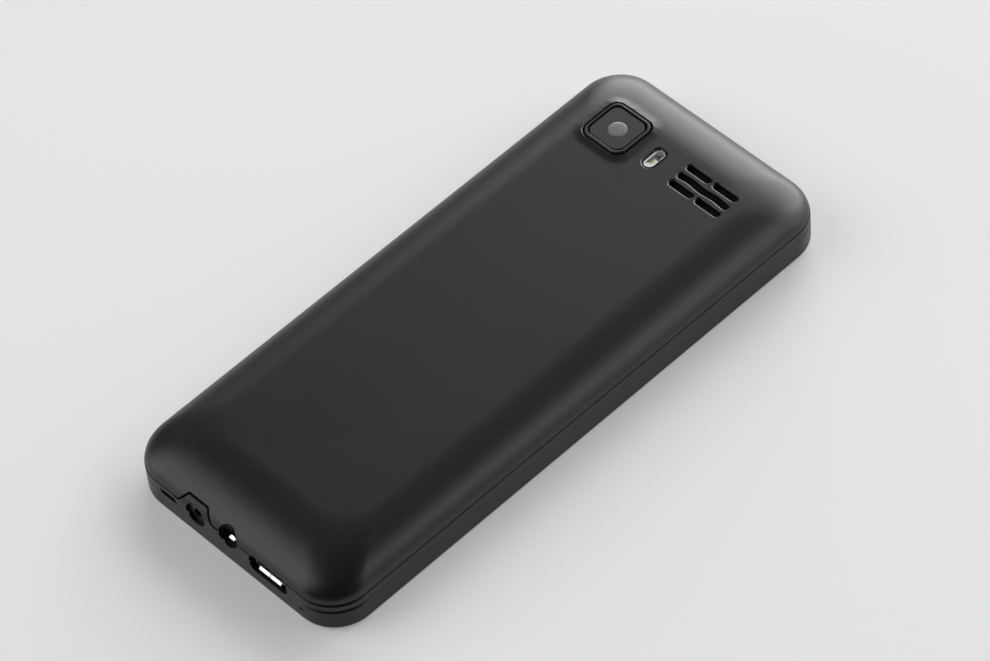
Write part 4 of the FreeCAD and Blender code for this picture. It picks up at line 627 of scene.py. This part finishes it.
def opening_cutter(left, right, low, high, radius, top):
    """Cutter for an opening in the back, whose mouth ends in a shallow chamfer."""
    levels = [(left, right, low, high, top - CUT_DEPTH, radius)]
    for out, drop in MOUTH_PROFILE:
        levels.append((left - out, right + out, low - out, high + out, top - drop, radius + out))
    levels.append((*levels[-1][:4], top + CUT_RISE, levels[-1][5]))
    return stack("cutter", levels)


def slot_cutter(left, right, y):
    """Cutter for one slot of the speaker grille."""
    half = SLOT_WIDTH / 2
    return opening_cutter(left, right, y - half, y + half, half * PILL_END, BACK_LEVEL)


def wave_along(cutter, left, right):
    """Give a long slot the slight waves of the moulding."""
    slice_across(cutter, "X", left + WAVE_STEP, right - WAVE_STEP, WAVE_STEP)
    edit(cutter)
    for step in range(round((right - left) / WAVE_STEP) + 1):
        line = left + step * WAVE_STEP
        shift = WAVE_HEIGHT * cos(2 * pi * (line - WAVE_CREST) / WAVE_LENGTH)
        select_vertices(cutter, lambda v, line=line: -0.5 <= (v.co.x / MM - line) / WAVE_STEP < 0.5)
        bpy.ops.transform.translate(value=(0, shift * MM, 0))
    bpy.ops.object.mode_set(mode="OBJECT")
    return cutter


def cut_grille(cover):
    """Cut the long slot and the four short ones."""
    left, right = GRILLE_X - SLOT_SPAN / 2, GRILLE_X + SLOT_SPAN / 2
    cut_with(cover, wave_along(slot_cutter(left, right, GRILLE_Y), left, right))
    for y in (GRILLE_Y - SLOT_PITCH, GRILLE_Y + SLOT_PITCH):
        cut_with(cover, slot_cutter(left, GRILLE_X - SLOT_BRIDGE / 2, y))
        cut_with(cover, slot_cutter(GRILLE_X + SLOT_BRIDGE / 2, right, y))


def end_cutter(x, width, low, high, radius, depth):
    """Prism that runs into the port end, with a rounded outline in X and Z."""
    cutter = block("cutter", (x - width / 2, x + width / 2), (low, high),
                   (HALF_LENGTH - depth, HALF_LENGTH + END_RISE), radius)
    return turn_to_end(cutter)


def move_corners(piece, centre, outline):
    """Move the corners of a round polygon, taken round from -X, to those of an outline."""
    bpy.ops.object.mode_set(mode="OBJECT")
    turns = [(atan2(v.co.y - centre.y, v.co.x - centre.x), v.index) for v in piece.data.vertices]
    for (turn, index), (across, up) in zip(sorted(turns), outline):
        bpy.ops.object.mode_set(mode="EDIT")
        select_vertices(piece, lambda v, index=index: v.index == index)
        corner = centre + Vector((across, up, 0)) * MM
        bpy.ops.transform.translate(value=corner - piece.data.vertices[index].co)


def tab_cutter():
    """Notch of the cover round the strap tab: a trapezium with flared feet, as a prism."""
    foot, top = TAB_FOOT / 2 + TAB_GAP, TAB_TOP / 2 + TAB_GAP
    reach = TAB_FOOT / 2 + TAB_FLARE + TAB_MARGIN
    rise = TAB_LEVEL + TAB_GAP - SEAM_LEVEL
    outline = ((-reach, -TAB_MARGIN), (reach, -TAB_MARGIN), (reach, TAB_SILL), (foot, TAB_SILL),
               (top, rise), (-top, rise), (-foot, TAB_SILL), (-reach, TAB_SILL))
    piece = new_piece("cutter")
    centre = Vector((TAB_X, SEAM_LEVEL, HALF_LENGTH - TAB_DEPTH)) * MM
    bpy.ops.mesh.primitive_circle_add(vertices=len(outline), radius=MM, fill_type="NGON",
                                      location=centre)
    move_corners(piece, centre, outline)
    bpy.ops.mesh.select_all(action="SELECT")
    bpy.ops.mesh.extrude_region_move(
        TRANSFORM_OT_translate={"value": (0, 0, (TAB_DEPTH + TAB_RISE) * MM)})
    turn_faces_out()
    bpy.ops.mesh.select_mode(type="EDGE")
    bpy.ops.mesh.select_all(action="DESELECT")
    bpy.ops.object.mode_set(mode="OBJECT")
    for edge in piece.data.edges:
        first, last = [piece.data.vertices[index].co / MM for index in edge.vertices]
        edge.select = (abs(first.z - last.z) > SLACK and abs(first.x - TAB_X) < foot + SLACK
                       and first.y > SEAM_LEVEL + TAB_SILL - SLACK)
    bpy.ops.object.mode_set(mode="EDIT")
    bpy.ops.mesh.bevel(offset=TAB_ROUND * MM, segments=6, affect="EDGES", clamp_overlap=False)
    bpy.ops.object.mode_set(mode="OBJECT")
    return turn_to_end(piece)


def cut_end_openings(piece):
    """Cut the two socket mouths and the notch of the strap tab."""
    cut_with(piece, end_cutter(SLEEVE.x, 2 * JACK_MOUTH, SLEEVE.z - JACK_MOUTH,
                               SLEEVE.z + JACK_MOUTH, JACK_MOUTH * JACK_ROUND, JACK_DEPTH))
    cut_with(piece, end_cutter(USB_X, *USB_MOUTH, USB_DEPTH))
    cut_with(piece, tab_cutter())


def make_cover():
    """Rear cover: crowned shell with its swelling, openings and bevelled edges."""
    cover = stack("rear_cover_shell", crown_levels(), PLAN_STEPS, (False, True))
    swell_round_ring(cover)
    apply_modifier(cover, "SOLIDIFY", thickness=COVER_WALL * MM, offset=-1, use_even_offset=True)
    reach = RING_SIDE / 2 + RING_GAP
    cut_with(cover, opening_cutter(*sides(LENS_MIDDLE, reach, reach), RING_CORNER + RING_GAP,
                                   LIP_LEVEL - LIP_DROP))
    wide, long = FLASH_HALF.x + FLASH_GAP, FLASH_HALF.y + FLASH_GAP
    cut_with(cover, opening_cutter(*sides(FLASH_MIDDLE, wide, long), wide * PILL_END, BACK_LEVEL))
    cut_grille(cover)
    cut_end_openings(cover)
    bevel_edges(cover, COVER_EDGE)
    smooth(cover, angle=25)
    dress(cover, soft_touch, "rear_cover", "soft_touch_black", "rear_cover")


# Painted shade: a black strip under the cover's foot stands for the shadow in the seam.
SEAM_SHADE_PROFILE = ((0.07, -0.02), (0.07, 0.04), (0.12, 0.09))  # inwards, above the seam
SEAM_SHADE_WIDTH = 0.7


def make_seal():
    """Black strip under the cover's foot: painted shade that draws the dark line of the seam."""
    def foot(inset, rise):
        half_x, half_y = HALF_WIDTH - inset, HALF_LENGTH - inset
        return (-half_x, half_x, -half_y, half_y, SEAM_LEVEL + rise,
                PLAN_CORNER + COVER_SET - inset)
    seal = stack("seam_shade_strip", [foot(*point) for point in SEAM_SHADE_PROFILE], PLAN_STEPS)
    cut_with(seal, stack("cutter", [foot(SEAM_SHADE_WIDTH, -1), foot(SEAM_SHADE_WIDTH, 1)], PLAN_STEPS))
    cut_end_openings(seal)
    dress_gap(seal)


HOOK_PITCH, HOOK_LENGTH, HOOK_THICKNESS = 36.0, 5.0, 0.8
HOOK_FOOT, HOOK_ROOT, HOOK_CORNER = 5.4, SEAM_LEVEL + 1.5, 0.12
BARB_LOW, BARB_HIGH = 0.2, 0.75  # above the hook's foot
BARB_REACH, BARB_SKIN = 0.2, 0.3  # outwards, and how deep the moved face goes


def make_hook(side, y):
    """Snap hook under the cover's edge: a tongue with a sloped barb."""
    outer = HALF_WIDTH - COVER_SET - COVER_WALL
    inner = outer - HOOK_THICKNESS
    hook = block("cover_hook", sorted((side * outer, side * inner)),
                 (y - HOOK_LENGTH / 2, y + HOOK_LENGTH / 2), (HOOK_FOOT, HOOK_ROOT),
                 HOOK_CORNER, steps=2)
    edit(hook)
    for rise in (BARB_LOW, BARB_HIGH):
        bpy.ops.mesh.select_all(action="SELECT")
        bpy.ops.mesh.bisect(plane_co=(0, 0, (HOOK_FOOT + rise) * MM), plane_no=(0, 0, 1))

    def on_barb(vertex):
        rise = vertex.co.z / MM - HOOK_FOOT
        return (abs(vertex.co.x / MM) > outer - BARB_SKIN
                and BARB_LOW - SLACK < rise < BARB_HIGH + SLACK)
    select_vertices(hook, on_barb)
    bpy.ops.transform.translate(value=(side * BARB_REACH * MM, 0, 0))
    bpy.ops.object.mode_set(mode="OBJECT")
    smooth(hook)
    dress(hook, soft_touch, "rear_cover", "soft_touch_black")


def make_hooks():
    """Three snap hooks along each side."""
    for side in (-1, 1):
        for place in (-1, 0, 1):
            make_hook(side, place * HOOK_PITCH)


# ------------ camera

RING_LOW, RING_HIGH = corners("camera_ring")
WINDOW_LOW, WINDOW_HIGH = corners("camera_window")
WINDOW_HALF = WINDOW_HIGH.x - LENS_MIDDLE.x

RING_TRIM, RING_BEAD, BEAD_STEPS = 0.11, 0.26, 4
OPENING_HALF, OPENING_CORNER = WINDOW_HALF + 0.1, 1.6
OPENING_PROFILE = ((0, 5), (0, 0.16), (0.05, 0.05), (0.16, 0), (0.16, -1))  # out, down
# Painted shade: the black sill under the bezel darkens the gap round the window.
SILL_LAP, SILL_WIDTH, SILL_CORNER = 0.3, 0.8, 1.5  # black sill that shows in the gap
PLATE_HALF, PLATE_CORNER, PLATE_EDGE = WINDOW_HALF - 0.21, 1.5, 0.05
LENS_CENTRE = LENS_MIDDLE + Vector((0.15, -0.1, 0))
LENS_RADIUS, LENS_ROUND, LENS_GAP = 1.9, 0.995, 0.04
POCKET_DEPTH, LENS_FOOT, LENS_WALL = 0.25, 0.24, 0.14
LENS_EDGE = (0.12, 0.06)  # inwards, up
LENS_STEP, LENS_RISES = 0.5, (0.02, 0.012, 0.006)  # three rings inwards, and their rise


def make_bezel():
    """Camera bezel: a square ring with a beaded outer edge and a bevelled opening."""
    def outline(inset, level):
        trim = RING_TRIM + inset
        return square(LENS_MIDDLE, RING_SIDE / 2 - trim, level, RING_CORNER - trim)
    top = RING_HIGH.z
    levels = [outline(0, RING_LOW.z)]
    for step in range(BEAD_STEPS + 1):
        angle = step / BEAD_STEPS * pi / 2
        levels.append(outline(RING_BEAD * (1 - cos(angle)), top - RING_BEAD * (1 - sin(angle))))
    bezel = stack("camera_bezel", levels, steps=10)
    cut_with(bezel, stack("cutter", [square(LENS_MIDDLE, OPENING_HALF + out, top - drop,
                                            OPENING_CORNER + out)
                                     for out, drop in OPENING_PROFILE]))
    smooth(bezel, angle=40)
    dress(bezel, ring_black, "phone", "ring_black", "camera_ring")


def make_bezel_floor():
    """Black sill under the bezel: painted shade that darkens the gap round the window."""
    floor = stack("gap_shade_sill", [square(LENS_MIDDLE, OPENING_HALF + SILL_LAP, level,
                                         OPENING_CORNER)
                                  for level in (RING_LOW.z, WINDOW_LOW.z)])
    cut_with(floor, stack("cutter", [square(LENS_MIDDLE, OPENING_HALF - SILL_WIDTH, level,
                                            SILL_CORNER)
                                     for level in (RING_LOW.z - 1, RING_HIGH.z)]))
    dress_gap(floor)


def make_window():
    """Camera window: a plate with a fine chamfer and a round pocket for the lens."""
    top = WINDOW_HIGH.z
    plate = stack("camera_plate", [
        square(LENS_MIDDLE, PLATE_HALF, WINDOW_LOW.z, PLATE_CORNER),
        square(LENS_MIDDLE, PLATE_HALF, top - PLATE_EDGE, PLATE_CORNER),
        square(LENS_MIDDLE, PLATE_HALF - PLATE_EDGE, top, PLATE_CORNER - PLATE_EDGE)])
    cut_with(plate, stack("cutter", [square(LENS_CENTRE, LENS_RADIUS, level,
                                            LENS_RADIUS * LENS_ROUND)
                                     for level in (top - POCKET_DEPTH, top + 1)], steps=12))
    smooth(plate)
    dress(plate, camera_print, "phone", "camera_glass", "camera_window")


def make_lens():
    """Lens: a low glass button with a rounded edge and a slight crown."""
    clear_selection()
    seat = Vector((LENS_CENTRE.x, LENS_CENTRE.y, WINDOW_HIGH.z - LENS_FOOT))
    bpy.ops.mesh.primitive_circle_add(vertices=64, radius=(LENS_RADIUS - LENS_GAP) * MM,
                                      fill_type="NGON", location=seat * MM)
    lens = bpy.context.object
    lens.name = "camera_lens"
    bpy.ops.object.transform_apply(location=True)
    edit(lens)
    bpy.ops.mesh.select_all(action="SELECT")
    bpy.ops.mesh.extrude_region_move(TRANSFORM_OT_translate={"value": (0, 0, LENS_WALL * MM)})
    bpy.ops.mesh.inset(thickness=LENS_EDGE[0] * MM, depth=LENS_EDGE[1] * MM)
    for rise in LENS_RISES:
        bpy.ops.mesh.inset(thickness=LENS_STEP * MM, depth=rise * MM)
    turn_faces_out()
    bpy.ops.object.mode_set(mode="OBJECT")
    smooth(lens, angle=50)
    dress(lens, lens_coat, "phone", "camera_glass")


# ------------ flash

# A profile's pairs are inwards from the flash's outline, and below the back.
FLASH_PROFILE = ((0.2, 0.3), (0.2, 0.1), (0.24, 0.03), (0.32, 0))
RIM_PROFILE, RIM_BORE = ((-0.05, 1.4), (-0.05, 0.12)), ((0.16, 2), (0.16, -1))
DISH_PROFILE, DISH_HOLLOW = ((0.18, 1), (0.18, 0.34)), ((0.45, 0.5), (0.2, 0.3))
# Sides are left, right, low and high from the middle of the flash.
SLAT_SIDES = ((-0.66, -0.5, -1.3, 1.0), (-0.24, -0.14, -1.1, 0.9), (0.0, 0.8, 0.3, 0.4),
              (0.0, 0.8, 0.62, 0.72), (0.0, 0.75, 0.94, 1.04))
SLAT_DROPS, SLAT_CORNER = (0.7, 0.35), 0.04
CHIP_SIDES, CHIP_DROPS, CHIP_CORNER = (-0.1, 0.4, -1.0, -0.1), (0.7, 0.42), 0.12
DOME_CENTRE = FLASH_MIDDLE + Vector((0, 1.5, 0))
DOME_PROFILE = ((0.74, 0.7), (0.74, 0.45), (0.6, 0.36), (0.4, 0.33))  # radius, drop


def pill_stack(name, profile):
    """Pill-shaped solid in the flash's opening."""
    levels = []
    for inset, drop in profile:
        half_x, half_y = FLASH_HALF.x - inset, FLASH_HALF.y - inset
        levels.append((*sides(FLASH_MIDDLE, half_x, half_y), BACK_LEVEL - drop,
                       half_x * PILL_END))
    return stack(name, levels, steps=10)


def flash_block(name, place, drops, corner, steps):
    """Small block inside the flash."""
    left, right, low, high = place
    return block(name, (FLASH_MIDDLE.x + left, FLASH_MIDDLE.x + right),
                 (FLASH_MIDDLE.y + low, FLASH_MIDDLE.y + high),
                 [BACK_LEVEL - drop for drop in drops], corner, steps)


def make_flash_shell():
    """Clear cover of the flash, in a black rim, over a white reflector dish."""
    cover = pill_stack("flash_cover", FLASH_PROFILE)
    smooth(cover, angle=60)
    dress(cover, clear, "phone", "flash_clear", "flash_lens")
    rim = pill_stack("flash_rim", RIM_PROFILE)
    cut_with(rim, pill_stack("cutter", RIM_BORE))
    dress_gap(rim)
    dish = pill_stack("flash_reflector", DISH_PROFILE)
    cut_with(dish, pill_stack("cutter", DISH_HOLLOW))
    smooth(dish)
    dress(dish, reflector, "phone", "plated_metal")


def make_flash_insides():
    """Black slats, the diode's yellow chip and the grey dome of a second diode."""
    for place in SLAT_SIDES:
        dress_gap(flash_block("flash_slat", place, SLAT_DROPS, SLAT_CORNER, steps=2))
    chip = flash_block("flash_chip", CHIP_SIDES, CHIP_DROPS, CHIP_CORNER, steps=3)
    smooth(chip)
    dress(chip, phosphor, "phone", "led_phosphor")
    dome = stack("flash_dome", [square(DOME_CENTRE, radius, BACK_LEVEL - drop, radius * PILL_END)
                                for radius, drop in DOME_PROFILE], steps=6)
    smooth(dome, angle=60)
    dress(dome, diode_dome, "phone", "flash_clear")


# ------------ headphone socket

CONTACT_SHIFT = Vector((0, 0.75, -1.1))  # from the middle of the collar's mouth
CONTACT_HALF, CONTACT_TURN = Vector((0.72, 0.36, 0.05)), radians(38)
CONTACT_CORNER, CONTACT_EDGE = 0.15, 0.03


def make_collar():
    """Matt black collar of the headphone socket."""
    collar = smooth_copy("jack_sleeve")
    collar.data.materials[0] = black_nylon_and_gap_shade


def make_contact():
    """Bright contact at the foot of the headphone socket, turned up to the light."""
    seat = Vector((SLEEVE.x, corners("jack_sleeve")[0].y, SLEEVE.z)) + CONTACT_SHIFT
    low, high = seat - CONTACT_HALF, seat + CONTACT_HALF
    contact = block("jack_contact", (low.x, high.x), (low.y, high.y), (low.z, high.z),
                    CONTACT_CORNER, steps=3)
    contact.data.transform(Matrix.Translation(seat * MM) @ Matrix.Rotation(CONTACT_TURN, 4, "X")
                           @ Matrix.Translation(-seat * MM))
    bevel_edges(contact, CONTACT_EDGE)
    smooth(contact)
    dress(contact, plated, "phone", "plated_metal")


# ------------ keys

NUMBER_KEYS = [str(digit) for digit in range(10)] + ["star", "hash"]
SOFT_KEYS = ("soft_key_left", "soft_key_right")
CALL_KEYS = {"call_key": print_green, "end_key": print_red}
SIGNS = {"star": "*", "hash": "#"}
LETTERS = {"2": "ABC", "3": "DEF", "4": "GHI", "5": "JKL", "6": "MNO", "7": "PQRS", "8": "TUV",
           "9": "WXYZ", "0": "+"}
SIGN_SHIFT, SIGN_HEIGHT = 2.6, 4.6  # from the key's middle
LETTER_SHIFT, LETTER_HEIGHT = -2.8, 2.1
INK_RISE, INK_DEPTH = 0.005, 0.01  # off the key's face, and each way
MARK_LEVELS = (-0.015, 0.02)  # from the key's face, which looks down
BAR_HALF, BAR_CORNER = (1.8, 0.25), 0.22
CUP_SHIFT, CUP_HALF, CUP_LOW, CUP_HIGH, CUP_CORNER = 1.9, 0.6, -0.9, 0.5, 0.4
GRIP_HALF, GRIP_LOW, GRIP_HIGH, GRIP_CORNER = 2.2, 0.2, 0.95, 0.35


def print_key(key, words, shift, height):
    """Print words on a key, to be read from below."""
    clear_selection()
    bpy.ops.object.text_add()
    text = bpy.context.object
    text.name = key + "_print"
    text.data.body = words
    text.data.size = height * MM
    text.data.align_x = "CENTER"
    text.data.align_y = "CENTER"
    text.data.extrude = INK_DEPTH * MM
    bpy.ops.object.convert(target="MESH")
    text = bpy.context.object
    spot = middle(key)
    place = Vector((spot.x + shift, spot.y, corners(key)[0].z - INK_RISE))
    text.data.transform(Matrix.Translation(place * MM) @ Matrix.Rotation(pi, 4, "Y"))
    dress(text, print_white, BODY_OF[key], SLOT_OF[key])


def make_keys():
    """Smooth key caps, and the signs and letters of the number keys."""
    for key in BODY_OF:
        if key.startswith("key_") or key in SOFT_KEYS or key in CALL_KEYS:
            smooth_copy(key, angle=50)
    for name in NUMBER_KEYS:
        print_key("key_" + name, SIGNS.get(name, name), SIGN_SHIFT, SIGN_HEIGHT)
        if name in LETTERS:
            print_key("key_" + name, LETTERS[name], LETTER_SHIFT, LETTER_HEIGHT)


def mark_key(key, name, x, y, corner, material):
    """Printed mark on a key between (low, high) pairs from the key's middle."""
    spot, face = middle(key), corners(key)[0].z
    mark = block(key + name, [spot.x + side for side in x], [spot.y + side for side in y],
                 [face + level for level in MARK_LEVELS], corner, steps=4)
    dress(mark, material, BODY_OF[key], SLOT_OF[key])


def make_side_marks():
    """Bars on the soft keys, and a handset lying on the call and end keys."""
    for key in SOFT_KEYS:
        mark_key(key, "_mark", *[(-half, half) for half in BAR_HALF], BAR_CORNER, print_white)
    for key, material in CALL_KEYS.items():
        for shift in (-CUP_SHIFT, CUP_SHIFT):
            mark_key(key, "_cup", (shift - CUP_HALF, shift + CUP_HALF), (CUP_LOW, CUP_HIGH),
                     CUP_CORNER, material)
        mark_key(key, "_grip", (-GRIP_HALF, GRIP_HALF), (GRIP_LOW, GRIP_HIGH), GRIP_CORNER,
                 material)


# ------------ stage, light, camera

FLOOR_SIZE = 8  # metres
ROOM_COLOUR, ROOM_LIGHT = "#f2f4ff", 0.03
# Azimuth, width, lowest and highest elevation in degrees, distance in metres, glow.
LAMPS = {
    "panel_behind": (-18.8, 64, 11.4, 42, 2.5, 4.5),
    "strip_behind": (-24.5, 51, 0.5, 11.4, 2.5, 7.3),
    "panel_left": (-66, 32, 0.5, 42, 2.5, 0.22),
    "panel_right": (37.4, 57, 0.5, 50.8, 2.0, 1.93),
    "panel_front": (-135.8, 46, 0.9, 61.4, 2.0, 2.07),
}
CAMERA_AZIMUTH, CAMERA_ELEVATION, CAMERA_ROLL = 50.298, 50.672, -6.42  # degrees
CAMERA_DISTANCE = 907.7
CAMERA_TARGET = Vector((-2.752, 5.362, 0))
FOCAL_PIXELS, FRAME_WIDTH = 5054, 990
SENSOR = 36


def make_stage():
    """Seamless paper floor in a dim room."""
    clear_selection()
    bpy.ops.mesh.primitive_plane_add(size=FLOOR_SIZE, location=(0, 0, 0))
    floor = bpy.context.object
    floor.name = "floor"
    # Matt pale paper without a seam: an even ground for a soft shadow, lightened by a painted glow
    # for the eye and in reflections.
    floor.data.materials.append(studio_paper("Seamless paper", "#e6e6e8", "#d0d0d1", 0.215))
    world = bpy.data.worlds.new("studio")
    bpy.context.scene.world = world
    world.use_nodes = True
    background = world.node_tree.nodes["Background"]
    background.inputs["Color"].default_value = linear(ROOM_COLOUR)
    background.inputs["Strength"].default_value = ROOM_LIGHT


def softbox(name, azimuth, width, low, high, distance, glow):
    """Lamp between two elevations that looks at the phone; azimuth 0 is +Y.

    Its glow is the light that it gives off, where white paper in full light gives 1.
    """
    azimuth, elevation = radians(azimuth), radians((low + high) / 2)
    direction = Vector((sin(azimuth) * cos(elevation), cos(azimuth) * cos(elevation),
                        sin(elevation)))
    lamp = bpy.data.lights.new(name, "AREA")
    lamp.shape = "RECTANGLE"
    lamp.size = 2 * distance * tan(radians(width / 2))
    lamp.size_y = 2 * distance * tan(radians((high - low) / 2))
    lamp.energy = pi * glow * lamp.size * lamp.size_y
    item = bpy.data.objects.new(name, lamp)
    bpy.context.scene.collection.objects.link(item)
    item.location = direction * distance
    item.rotation_euler = direction.to_track_quat("Z", "Y").to_euler()


def make_view():
    """Camera that looks down on the back from the side of the USB socket."""
    camera = bpy.data.objects.new("camera", bpy.data.cameras.new("camera"))
    bpy.context.scene.collection.objects.link(camera)
    turn = (Matrix.Rotation(radians(CAMERA_AZIMUTH), 4, "Z")
            @ Matrix.Rotation(radians(90 - CAMERA_ELEVATION), 4, "X")
            @ Matrix.Rotation(radians(CAMERA_ROLL), 4, "Z"))
    back = turn.to_3x3() @ Vector((0, 0, 1))
    camera.matrix_world = Matrix.Translation((CAMERA_TARGET + back * CAMERA_DISTANCE) * MM) @ turn
    camera.data.sensor_width = SENSOR
    camera.data.sensor_fit = "HORIZONTAL"
    camera.data.lens = FOCAL_PIXELS * SENSOR / FRAME_WIDTH
    bpy.context.scene.camera = camera
    bpy.context.scene.view_settings.view_transform = "Standard"


# ------------ the phone

SMOOTHED = ("rear_housing", "front_housing", "audio_jack", "vibration_motor", "vibration_weight",
            "camera_module", "camera_gasket", "housing_screws", "battery", "nav_ring",
            "nav_centre_key", "keypad_membrane", "dome_sheet", "main_board", "display_window",
            "antenna", "usb_receptacle")

make_cover()
make_seal()
make_hooks()
make_bezel()
make_bezel_floor()
make_window()
make_lens()
make_flash_shell()
make_flash_insides()
make_collar()
make_contact()
make_keys()
make_side_marks()
for part in SMOOTHED:
    smooth_copy(part)
for part, item in NODES.items():
    item.data.materials.clear()
    item.data.materials.append(FINISH[SLOT_OF[part]])
make_stage()
for lamp_name, setting in LAMPS.items():
    softbox(lamp_name, *setting)
make_view()
